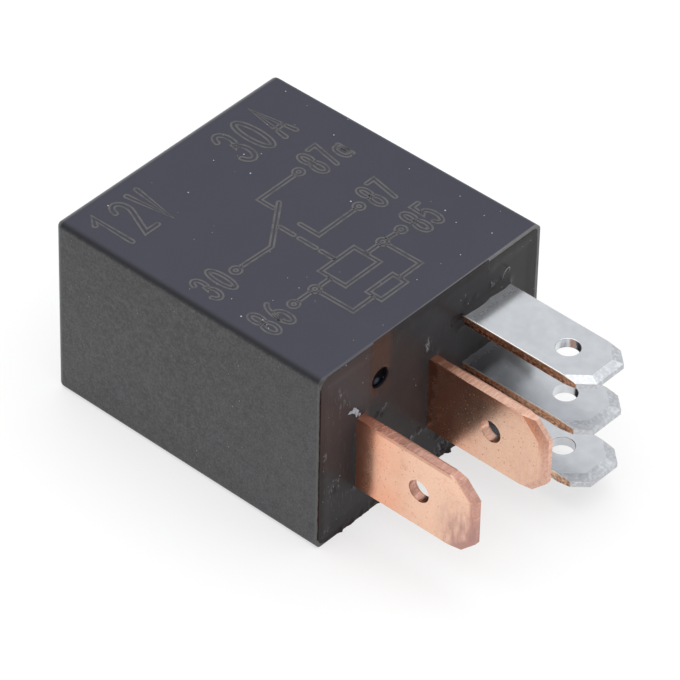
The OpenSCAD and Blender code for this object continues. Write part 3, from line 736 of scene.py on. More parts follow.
def inner_strip(bm, node):
    """The part of a terminal's solid that lies behind the tongue."""
    own = solid_copy(node)
    cut = bmesh.ops.bisect_plane(
        own, geom=own.verts[:] + own.edges[:] + own.faces[:], dist=1e-7,
        plane_co=((RIM - ROOT_IN) * MM, 0, 0), plane_no=(1, 0, 0), clear_outer=True,
    )
    rim = [e for e in cut["geom_cut"] if isinstance(e, bmesh.types.BMEdge)]
    bmesh.ops.holes_fill(own, edges=rim)
    held = bpy.data.meshes.new("held")
    own.to_mesh(held)
    own.free()
    bm.from_mesh(held)
    bpy.data.meshes.remove(held)


def blade_middle(node):
    """The middle of a blade's tip and how far it reaches past the rim."""
    high = span(node)[1]
    tip = [v.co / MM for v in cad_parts[node].data.vertices if v.co.x / MM > high.x - 0.01]
    return [(min(v[k] for v in tip) + max(v[k] for v in tip)) / 2 for k in (1, 2)] + [high.x - RIM]


def terminal(node, form, material, upright, tumbled):
    y, z, reach = blade_middle(node)

    def to_place(p):
        return Vector((RIM + p.x, y - p.z, z + p.y)) if upright else Vector((RIM + p.x, y + p.y, z + p.z))

    bm = bmesh.new()
    tongue(bm, reach, to_place=to_place, **form)
    bmesh.ops.recalc_face_normals(bm, faces=bm.faces)
    inner_strip(bm, node)
    piece = linked(node + "_shown", mesh_from(bm, node + "_shown", material))
    shown_for(edges_rounded(piece, tumbled, 3), [node])
    told(node, "reaches", round(reach, 2), "mm at y, z", round(y, 2), round(z, 2))
    return {"y": y, "z": z, "reach": reach, "upright": upright, "width": form["width"]}


BLADES = {}
for name, *wear in (("terminal_30", 1.2, 1.6, 1.0, 8.0), ("terminal_87", 0.5, 0.4, 0.2, 1.5)):
    finish = copper("copper_" + name[-2:], *blade_middle(name), *wear)
    BLADES[name] = terminal(name, WIDE, finish, True, 0.17)
for name, slope in (("terminal_86", 6.0), ("terminal_87a", 3.5), ("terminal_85", 2.0)):
    finish = tin("tin_" + name.split("_")[1], *blade_middle(name), slope)
    BLADES[name] = terminal(name, NARROW, finish, False, 0.05)

# %% [markdown]
# ## Inside the box
#
# Nothing inside is seen while the cover is on, but the pieces are there, and
# each has the finish of its own material: zinc-plated iron for the magnet,
# silver alloy for the contacts, copper alloy strip for the spring.

# %% Inside the box
def dressed(node, material):
    """A solid that is shown as it is, with its real finish."""
    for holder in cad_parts[node].material_slots:
        holder.material = material


iron = plain_metal("magnet_iron", (0.46, 0.46, 0.47), (0.55, 0.55, 0.54), 0.36)
silver = plain_metal("contact_silver", (0.80, 0.79, 0.76), (0.86, 0.85, 0.83), 0.22)
spring_strip = plain_metal("spring_copper", (0.66, 0.38, 0.21), (0.72, 0.44, 0.26), 0.28)
enamelled = plain_metal("coil_wire", (0.42, 0.13, 0.05), (0.5, 0.17, 0.07), 0.25)
lead_tin = plain_metal("lead_tin", (0.62, 0.63, 0.65), (0.7, 0.7, 0.72), 0.32)
dressed("base", base_plastic())
dressed("bobbin", bobbin_plastic())
for node in ("yoke", "core", "yoke_rivets", "armature", "armature_rivets"):
    dressed(node, iron)
for node in ("moving_contact", "no_contact", "nc_contact"):
    dressed(node, silver)
dressed("contact_spring", spring_strip)
for node in ("coil_lead_86", "coil_lead_85"):
    dressed(node, enamelled)
dressed("resistor_leads", lead_tin)


BAND_HALF = 0.035
RESISTOR_BANDS = [
    (0.27, (0.30, 0.02, 0.02)), (0.42, (0.02, 0.02, 0.02)),
    (0.56, (0.22, 0.09, 0.03)), (0.78, (0.62, 0.42, 0.12)),
]


def resistor_coat():
    """Lacquer with four colour bands round the body, by height along it."""
    f = Finish("resistor_coat", roughness=0.25, coat_weight=0.3)
    low, high = span("resistor")
    along = (f.z - low.z) / (high.z - low.z)
    tone = (0.24, 0.47, 0.52)
    for at, colour in RESISTOR_BANDS:
        tone = f.blend(abs(along - at) < BAND_HALF, tone, colour)
    f.set(base_color=tone)
    return f.material


dressed("resistor", resistor_coat())


# %% [markdown]
# ## The resin
#
# The terminal side is sealed with resin that was poured in while the relay
# stood with its blades up. It crept: it climbs each blade in a small curved
# foot, runs over the cover's rim in a thin brown film, fills the rim's shallow
# relief and leaves crumbs along the lower edge. A flat plate looks nothing like
# it. One sheet of small squares takes every one of those heights from a sum of
# simple rules, which a displacement texture could also do, but here each rule
# is named and the vent hole keeps a clean edge.

# %% The resin's surface
RESIN_DEPTH = 0.03
WALL = 0.9
RELIEF_HALF = 5.95
VENT_Y, VENT_UP, VENT_R = 6.4 - HALF_W, 3.85, 0.85
VENT_Z = TOP / 2 + VENT_UP
PIT = {"y": (2.1, 3.35), "z": (11.55, 12.25), "deep": 0.8}
DENTS = [(-5.45, 8.55, 0.3, 0.16), (-4.9, 8.2, 0.22, 0.1), (-9.7, 4.5, 0.5, 0.05)]
BUMPS = [
    (-0.35, 11.1, 0.30, 0.20), (-0.1, 11.6, 0.22, 0.16), (-0.5, 11.9, 0.2, 0.12), (0.1, 10.8, 0.2, 0.14),
    (3.75, 12.9, 0.35, 0.06), (4.7, 12.8, 0.4, 0.05), (6.4, 12.8, 0.4, 0.10),
    (-1.6, 3.9, 0.35, 0.12), (-0.9, 4.1, 0.3, 0.1), (1.2, 2.2, 0.4, 0.2), (1.9, 1.0, 0.35, 0.25),
]
FOOT_HEIGHT = {
    "terminal_30": 0.14, "terminal_87": 0.14,
    "terminal_86": 0.34, "terminal_87a": 0.26, "terminal_85": 0.22,
}


def ease(value, low, high):
    t = min(1.0, max(0.0, (value - low) / (high - low)))
    return t * t * (3 - 2 * t)


def wander(y, z, size, seed=0.0):
    """Smooth random value from -1 to 1 over the terminal side."""
    return noise.noise(Vector((y / size + 7.3 * seed, z / size - 3.1 * seed, 1.7 + seed)))


def off_blade(y, z, blade):
    """Distance from a point of the terminal side to a blade's outline."""
    half_y, half_z = blade["width"] / 2, STRIP_T / 2
    if blade["upright"]:
        half_y, half_z = half_z, half_y
    return math.hypot(max(abs(y - blade["y"]) - half_y, 0), max(abs(z - blade["z"]) - half_z, 0))


def resin_height(y, z):
    """Height of the resin above the rim, in millimetres."""
    edge = min(HALF_W - abs(y), z, TOP - z)
    in_relief = abs(y) < RELIEF_HALF and edge < HALF_W - abs(y)
    rim = (-0.02 if in_relief else 0.015) + 0.01 * wander(y, z, 0.6, 2)
    height = -RESIN_DEPTH + 0.010 * wander(y, z, 4.5) + 0.004 * wander(y, z, 0.8, 1)
    height += (rim - height) * (1 - ease(edge, WALL - 0.3, WALL + 0.6))
    for name, blade in BLADES.items():
        away = off_blade(y, z, blade)
        tall = FOOT_HEIGHT[name] * (1 + 0.45 * wander(y, z, 0.7, 3))
        height += tall * math.exp(-away / 0.2)
    for at_y, at_z, reach, tall in BUMPS:
        away = math.hypot(y - at_y, z - at_z) / reach
        height += tall * max(0, 1 - away * away) ** 1.5 * (1 + 0.6 * wander(y, z, 0.25, 4))
    for at_y, at_z, reach, deep in DENTS:
        away = math.hypot(y - at_y, z - at_z) / reach
        height -= deep * max(0, 1 - away * away)
    low = ease(0.75 - z, 0, 0.55) * (-10.2 < y < 4.5)
    ragged = 0.30 * wander(y, z, 0.42, 5) + 0.12 * wander(y, z, 0.17, 6) + 0.03
    height += low * (0.55 + 0.45 * ease(y, -2.5, 0.5)) * max(0.0, ragged)
    inside = min(y - PIT["y"][0], PIT["y"][1] - y, z - PIT["z"][0], PIT["z"][1] - z)
    height -= PIT["deep"] * ease(inside, 0, 0.16)
    vent = math.hypot(y - VENT_Y, z - VENT_Z)
    height -= 0.1 * (1 - ease(vent, VENT_R, VENT_R + 0.28))
    return height


def resin_margin(y, z, side):
    """Width of the rim that the film leaves bare at one side."""
    ragged = 0.1 * wander(y, z, 1.1, 7) + 0.05 * wander(y, z, 0.3, 8)
    if side in ("top", "bottom") and abs(y) < RELIEF_HALF:
        return 0.015 + 0.015 * wander(y, z, 0.5, 9)
    if side == "bottom":
        return max(0.02, 0.05 + ragged * 0.4)
    if side == "top":
        return max(0.03, 0.07 + 0.08 * ease(y, 5.9, 6.1) + ragged * 0.4)
    if side == "left":
        return max(0.03, 0.08 + ragged * 0.5)
    return max(0.14, 0.28 + ragged * 0.5)


def resin_outline(u, v):
    """Place on the terminal side for u across and v up, both from 0 to 1."""
    y, z = (2 * u - 1) * HALF_W, v * TOP
    left, right = resin_margin(-HALF_W, z, "left"), resin_margin(HALF_W, z, "right")
    low, high = resin_margin(y, 0, "bottom"), resin_margin(y, TOP, "top")
    y = -HALF_W + left + u * (2 * HALF_W - left - right)
    z = low + v * (TOP - low - high)
    corner = 0.6
    over_y = abs(y) - (HALF_W - 0.2 - corner)
    over_z = abs(z - TOP / 2) - (TOP / 2 - 0.16 - corner)
    if over_y > 0 and over_z > 0:
        over = math.hypot(over_y, over_z)
        if over > corner:
            y -= math.copysign(over_y * (1 - corner / over), y)
            z -= math.copysign(over_z * (1 - corner / over), z - TOP / 2)
    return y, z


def resin_pool(material):
    fine = 0.095
    across, up = int(2 * HALF_W / fine), int(TOP / fine)
    bm = bmesh.new()
    grid = []
    for j in range(up + 1):
        row = []
        for i in range(across + 1):
            y, z = resin_outline(i / across, j / up)
            away = math.hypot(y - VENT_Y, z - VENT_Z)
            deep = 0.0
            if away < VENT_R + 0.6 * fine:
                wanted = VENT_R if away > VENT_R - 0.6 * fine else away * 0.96
                y, z = VENT_Y + (y - VENT_Y) * wanted / away, VENT_Z + (z - VENT_Z) * wanted / away
                deep = 0.0 if away > VENT_R - 0.6 * fine else 2.4
            row.append(bm.verts.new(Vector((RIM + resin_height(y, z) - deep, y, z)) * MM))
        grid.append(row)
    for j in range(up):
        for i in range(across):
            bm.faces.new((grid[j][i], grid[j][i + 1], grid[j + 1][i + 1], grid[j + 1][i]))
    ring = grid[0][:-1] + [r[-1] for r in grid[:-1]] + grid[-1][:0:-1] + [r[0] for r in grid[:0:-1]]
    back = [bm.verts.new(Vector(((RIM - 0.4) * MM, v.co.y, v.co.z))) for v in ring]
    for k, vert in enumerate(ring):
        bm.faces.new((ring[k - 1], back[k - 1], back[k], vert))
    bm.faces.new(back)
    bmesh.ops.remove_doubles(bm, verts=bm.verts, dist=1e-7)
    bmesh.ops.recalc_face_normals(bm, faces=bm.faces)
    piece = linked("resin_surface", mesh_from(bm, "resin_surface", material))
    piece.data.shade_smooth()
    return carried(piece)


# %% [markdown]
# ## The resin's finish
#
# The resin is black and has lost most of its gloss, so it mirrors the blades
# only faintly. Where it lies thin over the plastic it shows brown, and by the
# vent a brown reflection of a copper blade is painted on. The inside of the
# vent and of the pit is painted in shade, with a painted bluish glint. Handling
# has left pale scuffs on it, which are rough, with small dots.

# %% The resin's finish
SCUFFS = [
    (-9.7, 4.6, 0.8, 0.8, 1.0), (-9.1, 12.3, 0.6, 1.3, 0.6), (-1.3, 3.9, 0.9, 0.4, 1.0),
    (-0.3, 11.5, 0.5, 0.8, 0.9), (3.7, 13.5, 0.35, 0.25, 1.0), (5.9, 14.2, 0.25, 0.2, 1.0),
    (6.5, 12.9, 0.6, 0.35, 0.9), (1.6, 1.0, 1.0, 0.8, 0.8), (-7.9, 3.3, 0.5, 0.3, 0.8),
    (-10.7, 8.0, 0.25, 0.6, 0.7), (-4.5, 8.7, 0.5, 0.4, 0.6), (-10.4, 0.9, 0.8, 0.4, 0.5),
]


def resin(name):
    f = Finish(name, specular_ior_level=0.06)
    edge = (HALF_W - abs(f.y)).least(TOP / 2 - abs(f.z - TOP / 2))
    thin = 1.0 - edge.soft_rise(0.35, 1.0)
    left = 1.0 - f.y.soft_rise(-7.5, -3.5)
    ragged = f.clouds(0.5, 3.0)
    scuffed = None
    for y, z, wide, tall, strength in SCUFFS:
        away = ((f.y - y) / wide) ** 2.0 + ((f.z - z) / tall) ** 2.0
        patch = (1.0 - away).held() * strength
        scuffed = patch if scuffed is None else scuffed.most(patch)
    crackle = f.clouds(0.2, 4.0, stretch=(1, 1, 2.2), shift=3.0).soft_rise(0.5, 0.66)
    lines = f.clouds(0.12, 2.0, stretch=(1, 0.7, 9.0), shift=7.0).soft_rise(0.66, 0.74) * 0.35
    scuffed = (scuffed * crackle * 1.1).held().most(lines * (0.35 + 0.65 * left))
    dots = f.specks(0.55, 0.1, 0.05).most(f.specks(0.26, 0.14, 0.03, shift=4.0))
    scuffed = scuffed.most(dots * f.clouds(3.0, 2.0, shift=9.0))
    body = f.blend(f.clouds(2.5, 3.0), (0.032, 0.030, 0.032), (0.052, 0.050, 0.053))
    film = f.blend(ragged, (0.026, 0.022, 0.022), (0.044, 0.036, 0.035))
    tone = f.blend((thin * (0.25 + 0.65 * left)).held(), body, film)
    # A painted brown reflection of a copper blade, by the vent.
    vent_copper_reflection = (f.y - VENT_Y).soft_rise(-1.25, -1.05) * (1.0 - (f.y - VENT_Y).soft_rise(0.55, 1.25))
    vent_copper_reflection = vent_copper_reflection * f.z.soft_rise(VENT_Z - 2.4, VENT_Z - 0.2)
    vent_copper_reflection = vent_copper_reflection * (0.35 + 0.65 * f.clouds(0.9, 3.0, shift=12.0))
    pale_top = (1.0 - (f.y - VENT_Y).soft_rise(-1.35, -1.05)) * f.z.soft_rise(VENT_Z - 5.5, VENT_Z)
    tone = f.coated(
        tone,
        (pale_top * 0.7, (0.075, 0.056, 0.056)),
        (f.y.soft_rise(3.0, 8.0) * 0.6, (0.058, 0.055, 0.056)),
        (vent_copper_reflection * 0.9, (0.095, 0.047, 0.034)),
    )
    at_left = (f.y + HALF_W).soft_rise(0.24, 0.17) * ragged.rise(0.25, 0.5)
    tone = f.blend(at_left, tone, (0.016, 0.006, 0.005))
    # The vent and the pit are painted dark as shade, with a painted bluish glint low in the vent.
    painted_recess_shade = f.x < RIM - 0.22
    glint = ((f.y - VENT_Y + 0.1) / 0.35) ** 2.0 + ((f.z - VENT_Z + 0.35) / 0.3) ** 2.0
    recess_shade_and_glint = f.blend((1.0 - glint).held(), (0.006, 0.006, 0.008), (0.085, 0.105, 0.15))
    tone = f.blend(painted_recess_shade, tone, recess_shade_and_glint)
    scuffed = scuffed * (1.0 - painted_recess_shade)
    relief = f.clouds(0.9, 3.0, shift=5.0) * 0.35 + scuffed * 0.25 + f.clouds(0.11, 2.0) * 0.08
    f.set(
        base_color=f.blend((scuffed * 0.85).held(), tone, (0.25, 0.25, 0.26)),
        roughness=0.24 + f.clouds(1.6, 3.0, shift=2.0) * 0.14 + scuffed * 0.35 + thin * 0.12,
        normal=f.bumped(relief, 0.012),
    )
    return f.material


resin_black = resin("resin_black")
pool = resin_pool(resin_black)
dressed("resin_seal", resin_black)


# %% [markdown]
# ## Drips, crumbs and a hair of resin
#
# Four pale lumps of hardened flux stand by the root of the outer copper blade,
# and a thin curl of resin stands by the uppermost tin blade. A lump is a small
# ball squashed and dented by noise. The curl is a tube along a few points.

# %% Drips, crumbs and a hair of resin
def pale(name, colour, roughness=0.5):
    f = Finish(name, roughness=roughness)
    f.set(
        base_color=f.blend(f.clouds(0.3, 3.0), colour, tuple(c * 1.35 for c in colour)),
        normal=f.bumped(f.clouds(0.12, 3.0), 0.01),
    )
    return f.material


def lump(name, at, size, material, seed, sharp):
    bm = bmesh.new()
    bmesh.ops.create_icosphere(bm, subdivisions=4, radius=1.0)
    for v in bm.verts:
        way = v.co.normalized()
        swell = 1 + sharp * noise.noise(way * 1.6 + Vector((seed, seed, 0)))
        swell += 0.15 * noise.noise(way * 5 + Vector((seed, 0, 0)))
        v.co = (Vector(at) + Vector([w * s * swell for w, s in zip(way, size)])) * MM
    piece = linked(name, mesh_from(bm, name, material))
    piece.data.shade_smooth()
    return carried(piece)


def hair(name, points, thick, material):
    """A thin tube along points in millimetres, tapered to both ends."""
    curve = bpy.data.curves.new(name, "CURVE")
    curve.dimensions, curve.bevel_depth, curve.bevel_resolution = "3D", thick / 2 * MM, 3
    curve.resolution_u, curve.use_fill_caps = 8, True
    spline = curve.splines.new("NURBS")
    spline.points.add(len(points) - 1)
    for k, (point, place) in enumerate(zip(spline.points, points)):
        point.co = (*(Vector(place) * MM), 1.0)
        point.radius = 0.35 + 0.65 * math.sin(math.pi * (k + 0.5) / len(points))
    spline.use_endpoint_u, spline.order_u = True, 4
    made = linked(name, curve)
    bpy.context.view_layer.update()
    graph = bpy.context.evaluated_depsgraph_get()
    mesh = bpy.data.meshes.new_from_object(made.evaluated_get(graph))
    bpy.data.objects.remove(made)
    bpy.data.curves.remove(curve)
    mesh.materials.clear()
    mesh.materials.append(material)
    piece = linked(name, mesh)
    mesh.shade_smooth()
    return carried(piece)


flux = pale("flux_white", (0.36, 0.37, 0.40), 0.35)
b30 = BLADES["terminal_30"]
top_30 = b30["z"] + b30["width"] / 2
FLUX_LUMPS = [
    (0.88, 0.86, (0.06, 0.30, 0.09)), (0.62, 0.80, (0.08, 0.19, 0.20)),
    (0.36, 0.45, (0.08, 0.14, 0.26)), (0.12, 0.10, (0.06, 0.15, 0.16)),
]
for k, (to_left, up, size) in enumerate(FLUX_LUMPS):
    lump(f"flux_{k}", (RIM + 0.04, b30["y"] - to_left, top_30 + up), size, flux, 2.0 + 3 * k, 0.8)
grey_resin = pale("resin_grey", (0.17, 0.17, 0.18), 0.3)
hair("resin_curl", [
    (RIM - 0.05, 7.55, 12.45), (RIM + 0.1, 7.35, 12.85), (RIM + 0.22, 7.3, 13.25), (RIM + 0.25, 7.55, 13.6),
    (RIM + 0.2, 7.95, 13.6), (RIM + 0.1, 8.15, 13.3), (RIM + 0.0, 8.2, 13.0), (RIM - 0.05, 8.1, 12.8),
], 0.08, grey_resin)

# %% [markdown]
# ## The marking
#
# The large face is marked by a fine tip that traces the outline of every stroke
# and never fills it, so each stroke shows as two hair lines. The diagram is the
# usual one for a changeover relay: the switching arm and its two contacts, the
# coil with the resistor beside it, and the terminals' numbers. The rating is a
# plain one. The hair lines are drawn as thin raised ribbons on the face, each
# following the outline of its stroke.

# %% The marking's pen
STROKE_W, HAIR_W, HAIR_T = 0.30, 0.15, 0.006
CLOSED_R = 0.45


def face_height(x):
    """Height of the large face at x, which falls towards the closed end."""
    back = -BODY_L + CLOSED_R
    return TOP - DRAFT * (x - RIM) / back


def arc(centre, rx, ry, start, end, steps=14):
    """Points along an ellipse from one angle to another, in degrees."""
    return [
        (centre[0] + rx * math.cos(math.radians(start + (end - start) * k / steps)),
         centre[1] + ry * math.sin(math.radians(start + (end - start) * k / steps)))
        for k in range(steps + 1)
    ]


def offset_side(path, by, closed):
    """The path moved sideways by `by`, with its corners mitred."""
    moved = []
    count = len(path)
    for k in range(count):
        here = Vector(path[k])
        before = Vector(path[k - 1]) if closed or k else None
        after = Vector(path[(k + 1) % count]) if closed or k < count - 1 else None
        ways = []
        if before is not None and (here - before).length > 1e-9:
            ways.append((here - before).normalized())
        if after is not None and (after - here).length > 1e-9:
            ways.append((after - here).normalized())
        normal = sum((Vector((-w.y, w.x)) for w in ways), Vector((0, 0)))
        normal.normalize()
        lean = max(0.5, normal.dot(Vector((-ways[0].y, ways[0].x))))
        moved.append(here + normal * by / lean)
    return moved


def stroke_outline(path, width):
    """The closed outline of a stroke with round ends."""
    left, right = offset_side(path, width / 2, False), offset_side(path, -width / 2, False)
    ends = []
    for tip, frm in ((path[-1], path[-2]), (path[0], path[1])):
        way = (Vector(tip) - Vector(frm)).normalized()
        angle = math.degrees(math.atan2(way.y, way.x))
        ends.append([Vector(p) for p in arc(tip, width / 2, width / 2, angle + 90, angle - 90, 6)][1:-1])
    return left + ends[0] + right[::-1] + ends[1]


def hair_line(bm, loop, closed=True):
    """One hair line as a thin raised ribbon lying on the marked face."""
    outer, inner = offset_side(loop, HAIR_W / 2, closed), offset_side(loop, -HAIR_W / 2, closed)
    rows = []
    for a, b in zip(outer, inner):
        rows.append([
            bm.verts.new(Vector((p.x, p.y, face_height(p.x) + lift)) * MM)
            for p, lift in ((a, -0.01), (a, HAIR_T), (b, HAIR_T), (b, -0.01))
        ])
    count = len(rows)
    for k in range(count if closed else count - 1):
        this, after = rows[k], rows[(k + 1) % count]
        for i in range(3):
            bm.faces.new((this[i], this[i + 1], after[i + 1], after[i]))


def trace(bm, path, closed=False, width=STROKE_W):
    """The two hair lines of one stroke."""
    if closed:
        hair_line(bm, offset_side(path, width / 2, True))
        hair_line(bm, offset_side(path, -width / 2, True))
    else:
        hair_line(bm, stroke_outline(path, width))


# %% [markdown]
# The figures and letters are drawn in a box of height 1, each as a few strokes.
# They stand with their tops towards the closed end, and read across the width.

# %% The figures
GLYPHS = {
    "0": [(arc((0.22, 0.5), 0.22, 0.5, 0, 346, 22), True)],
    "1": [([(0.0, 0.83), (0.2, 1.0), (0.2, 0.0)], False)],
    "2": [(arc((0.22, 0.76), 0.22, 0.24, 170, -40, 10) + [(0.0, 0.0), (0.46, 0.0)], False)],
    "3": [(arc((0.2, 0.75), 0.2, 0.25, 160, -80, 10) + arc((0.2, 0.26), 0.23, 0.26, 80, -160, 10), False)],
    "5": [([(0.44, 1.0), (0.06, 1.0), (0.03, 0.58)] + arc((0.21, 0.33), 0.23, 0.33, 120, -150, 12), False)],
    "6": [
        (arc((0.22, 0.3), 0.22, 0.3, 20, 366, 16), True),
        (arc((0.42, 0.35), 0.42, 0.65, 182, 105, 8), False),
    ],
    "7": [([(0.0, 1.0), (0.44, 1.0), (0.16, 0.0)], False)],
    "8": [
        (arc((0.22, 0.76), 0.19, 0.24, 0, 340, 16), True),
        (arc((0.22, 0.26), 0.22, 0.27, 0, 340, 16), True),
    ],
    "A": [([(0.0, 0.0), (0.22, 1.0), (0.44, 0.0)], False), ([(0.09, 0.3), (0.35, 0.3)], False)],
    "V": [([(0.0, 1.0), (0.2, 0.0), (0.4, 1.0)], False)],
    "a": [(arc((0.2, 0.26), 0.19, 0.26, 0, 340, 14), True), ([(0.40, 0.55), (0.40, 0.0)], False)],
}


def lettered(bm, text, top, left, height, pitch, width=STROKE_W):
    """Text whose capitals' tops lie at x = top and whose first letter starts at y = left."""
    for k, letter in enumerate(text):
        for path, closed in GLYPHS.get(letter, []):
            place = [(top + height * (1 - v), left + pitch * k + height * 0.68 * u) for u, v in path]
            trace(bm, place, closed, width)


LETTER_W = 0.36
WRITING = [
    ("12V", -16.25, -9.75, 3.65, 1.9, LETTER_W), ("30A", -16.25, 2.6, 3.65, 1.9, LETTER_W),
    ("87a", -10.45, 5.15, 2.5, 1.22), ("30", -6.65, -9.85, 2.55, 1.45), ("87", -4.95, 5.2, 2.4, 1.22),
    ("86", -1.4, -9.85, 2.6, 1.45), ("85", -0.95, 5.25, 2.5, 1.25),
]
RING_R = 0.30
RINGS = [(-9.3, 4.15), (-5.3, -6.65), (-3.7, 4.2), (0.0, -6.6), (0.0, -4.45), (0.05, 2.45), (0.1, 4.3)]
SWITCH = [
    [(-9.27, 3.65), (-9.25, 0.02), (-7.9, 0.02)], [(-8.05, 0.75), (-5.2, -3.15), (-5.3, -6.1)],
    [(-5.4, 0.0), (-3.65, 0.0), (-3.68, 3.7)],
    *([(low, -1.17), (high, -1.17)] for low, high in ((-6.2, -4.95), (-4.4, -2.9), (-2.4, -1.3))),
]
COIL_AND_RESISTOR = [
    [(-1.0, -2.78), (-1.0, 0.67), (1.3, 0.67), (1.3, -2.78)],
    [(2.85, -2.2), (2.85, 0.32), (4.05, 0.32), (4.05, -2.2)],
]
WIRES = [
    [(0.0, -6.1), (0.0, -4.95)], [(0.0, -3.95), (0.0, -2.98)], [(0.05, 0.87), (0.05, 1.95)],
    [(0.05, 2.95), (0.1, 3.8)], [(0.5, -4.45), (3.45, -4.4), (3.45, -2.4)],
    [(3.45, 0.52), (3.45, 2.5), (0.55, 2.45)],
]


def marking():
    bm = bmesh.new()
    for line in WRITING:
        lettered(bm, *line)
    for ring in RINGS:
        trace(bm, arc(ring, RING_R, RING_R, 0, 342, 18), True)
    for path in SWITCH:
        trace(bm, path)
    for box in COIL_AND_RESISTOR:
        trace(bm, box, True)
    for path in WIRES:
        trace(bm, path)
    bmesh.ops.recalc_face_normals(bm, faces=bm.faces)
    return bm


def marking_finish():
    f = Finish("marking", roughness=0.55)
    worn = f.clouds(0.5, 3.0).soft_rise(0.3, 0.55)
    f.set(base_color=f.blend(worn, (0.052, 0.049, 0.054), (0.086, 0.080, 0.080)))
    return f.material


marks = linked("marking", mesh_from(marking(), "marking", marking_finish()))
carried(marks)

# %% [markdown]
# ## What repeats
#
# The coil's last layer is one turn of wire after another, and dust is one grain
# after another. Both are made by Geometry Nodes: the turns are one ring set at
# every step of a line, and the grains are one small crystal scattered over a
# face with a fixed seed. A loop in the script would do it too, but the node
# trees keep the few numbers that matter as named inputs.

# %% What repeats
class Layout(Mixer):
    """A Geometry Nodes tree with named inputs."""

    def __init__(self, name, **inputs):
        super().__init__(bpy.data.node_groups.new(name, "GeometryNodeTree"))
        self.tree.is_modifier = True
        self.tree.interface.new_socket("Geometry", in_out="OUTPUT", socket_type="NodeSocketGeometry")
        self.tree.interface.new_socket("Geometry", in_out="INPUT", socket_type="NodeSocketGeometry")
        self.values = {}
        for title, (kind, value) in inputs.items():
            title = title.replace("_", " ").capitalize()
            made = self.tree.interface.new_socket(title, in_out="INPUT", socket_type="NodeSocket" + kind)
            self.values[made.identifier] = value
        self.given = self.node("NodeGroupInput").outputs
        self.end = self.node("NodeGroupOutput")

    def finish_with(self, geometry, material):
        real = self.node("GeometryNodeRealizeInstances", None, {"Geometry": geometry})
        done = self.node("GeometryNodeSetMaterial", None, {"Geometry": real.outputs[0], "Material": material})
        self.feed(self.end.inputs[0], done.outputs[0])

    def applied_to(self, piece):
        modifier = piece.modifiers.new("layout", "NODES")
        modifier.node_group = self.tree
        for identifier, value in self.values.items():
            modifier[identifier] = value
        return evaluated(piece)


def turns_of_wire(node, wire, material):
    """Rings of wire side by side along the coil, over a plain sleeve."""
    low, high = span(node)
    radius = (high.y - low.y) / 2
    turns = int((high.x - low.x) / (wire * 1.03))
    layout = Layout(
        "turns_of_wire", turns=("Int", turns), pitch=("Float", (high.x - low.x) / turns * MM),
        coil_radius=("Float", (radius - wire / 2) * MM), wire_radius=("Float", wire / 2 * MM),
    )
    step = layout.node("ShaderNodeCombineXYZ", None, {0: layout.given["Pitch"]})
    first = Vector((low.x + wire / 2, (low.y + high.y) / 2, (low.z + high.z) / 2)) * MM
    line = layout.node(
        "GeometryNodeMeshLine", None,
        {"Count": layout.given["Turns"], "Start Location": tuple(first), "Offset": step.outputs[0]},
    )
    ring = layout.node(
        "GeometryNodeCurvePrimitiveCircle", None, {"Resolution": 72, "Radius": layout.given["Coil radius"]}
    )
    section = layout.node(
        "GeometryNodeCurvePrimitiveCircle", None, {"Resolution": 8, "Radius": layout.given["Wire radius"]}
    )
    tube = layout.node(
        "GeometryNodeCurveToMesh", None, {"Curve": ring.outputs[0], "Profile Curve": section.outputs[0]}
    )
    set_out = layout.node(
        "GeometryNodeInstanceOnPoints", None,
        {"Points": line.outputs[0], "Instance": tube.outputs[0], "Rotation": (0.0, math.pi / 2, 0.0)},
    )
    layout.finish_with(set_out.outputs[0], material)
    piece = layout.applied_to(linked("coil_turns", bpy.data.meshes.new("coil_turns")))
    bm = bmesh.new()
    bm.from_mesh(piece.data)
    middle = Matrix.Translation((low + high) / 2 * MM)
    bmesh.ops.create_cone(
        bm, cap_ends=True, segments=72, radius1=(radius - wire) * MM, radius2=(radius - wire) * MM,
        depth=(high.x - low.x) * MM, matrix=middle @ Matrix.Rotation(math.pi / 2, 4, "Y"),
    )
    bm.to_mesh(piece.data)
    bm.free()
    piece.data.shade_smooth()
    piece.data.set_sharp_from_angle(angle=math.radians(50))
    return shown_for(piece, [node])


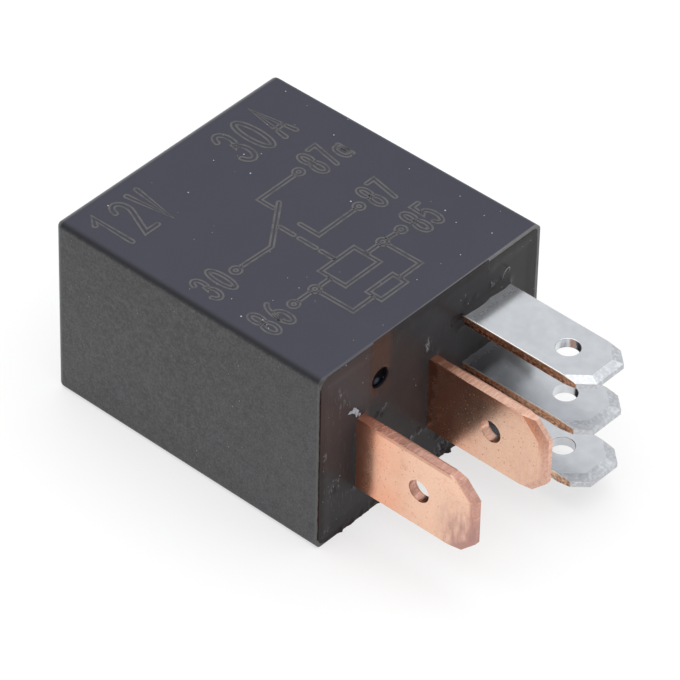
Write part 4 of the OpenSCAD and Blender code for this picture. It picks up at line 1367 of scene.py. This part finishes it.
def grains(name, over, count_mm2, smallest, largest, seed, material):
    """Small crystals scattered over a face."""
    layout = Layout(
        name + "_layout", count_per_square_metre=("Float", count_mm2 / MM / MM),
        smallest=("Float", smallest * MM), largest=("Float", largest * MM), seed=("Int", seed),
    )
    g = layout.given
    spread = layout.node(
        "GeometryNodeDistributePointsOnFaces", {"distribute_method": "RANDOM"},
        {"Mesh": g["Geometry"], "Density": g["Count per square metre"], "Seed": g["Seed"]},
    )
    crystal = layout.node("GeometryNodeMeshIcoSphere", None, {"Radius": 1.0, "Subdivisions": 1})
    turned = layout.node(
        "FunctionNodeRandomValue", {"data_type": "FLOAT_VECTOR"}, {1: (math.tau,) * 3, "Seed": g["Seed"]}
    )
    sizes_within = {2: g["Smallest"], 3: g["Largest"], "Seed": g["Seed"]}
    sized = layout.node("FunctionNodeRandomValue", {"data_type": "FLOAT"}, sizes_within)
    set_out = layout.node(
        "GeometryNodeInstanceOnPoints", None,
        {"Points": spread.outputs[0], "Instance": crystal.outputs[0], "Rotation": turned.outputs[0],
         "Scale": sized.outputs[1]},
    )
    layout.finish_with(set_out.outputs[0], material)
    return carried(layout.applied_to(linked(name, over.data.copy())))


turns_of_wire("winding", 0.14, enamelled)


def face_patch(name, corners):
    mesh = bpy.data.meshes.new(name)
    mesh.from_pydata([tuple(Vector(c) * MM) for c in corners], [], [tuple(range(len(corners)))])
    return linked(name, mesh)


dust_white = pale("dust_white", (0.5, 0.5, 0.52), 0.7)
EDGE_IN = 0.9
x_low, x_high = RIM - BODY_L + EDGE_IN, RIM - EDGE_IN
marked_face = face_patch("marked_face", [
    (x, side * (HALF_W - EDGE_IN), face_height(x))
    for x, side in ((x_low, -1), (x_high, -1), (x_high, 1), (x_low, 1))
])
grains("dust_on_cover", marked_face, 0.06, 0.012, 0.055, 4, dust_white)
left_face = face_patch("left_face", [
    (x_low, -HALF_W + 0.13, EDGE_IN), (x_high, -HALF_W + 0.01, EDGE_IN),
    (x_high, -HALF_W + 0.01, TOP - EDGE_IN), (x_low, -HALF_W + 0.13, TOP - EDGE_IN),
])
grains("dust_on_side", left_face, 0.05, 0.01, 0.03, 9, dust_white)
grains("resin_crumbs", pool, 0.22, 0.012, 0.06, 3, grey_resin)
for patch in (marked_face, left_face):
    bpy.data.objects.remove(patch)

# %% Size and end
sizes = {"cad": [list(v) for v in cad_box], "visual": [list(v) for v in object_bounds()]}
told("size, mm", [[round(c / MM, 2) for c in v] for v in sizes["visual"]])
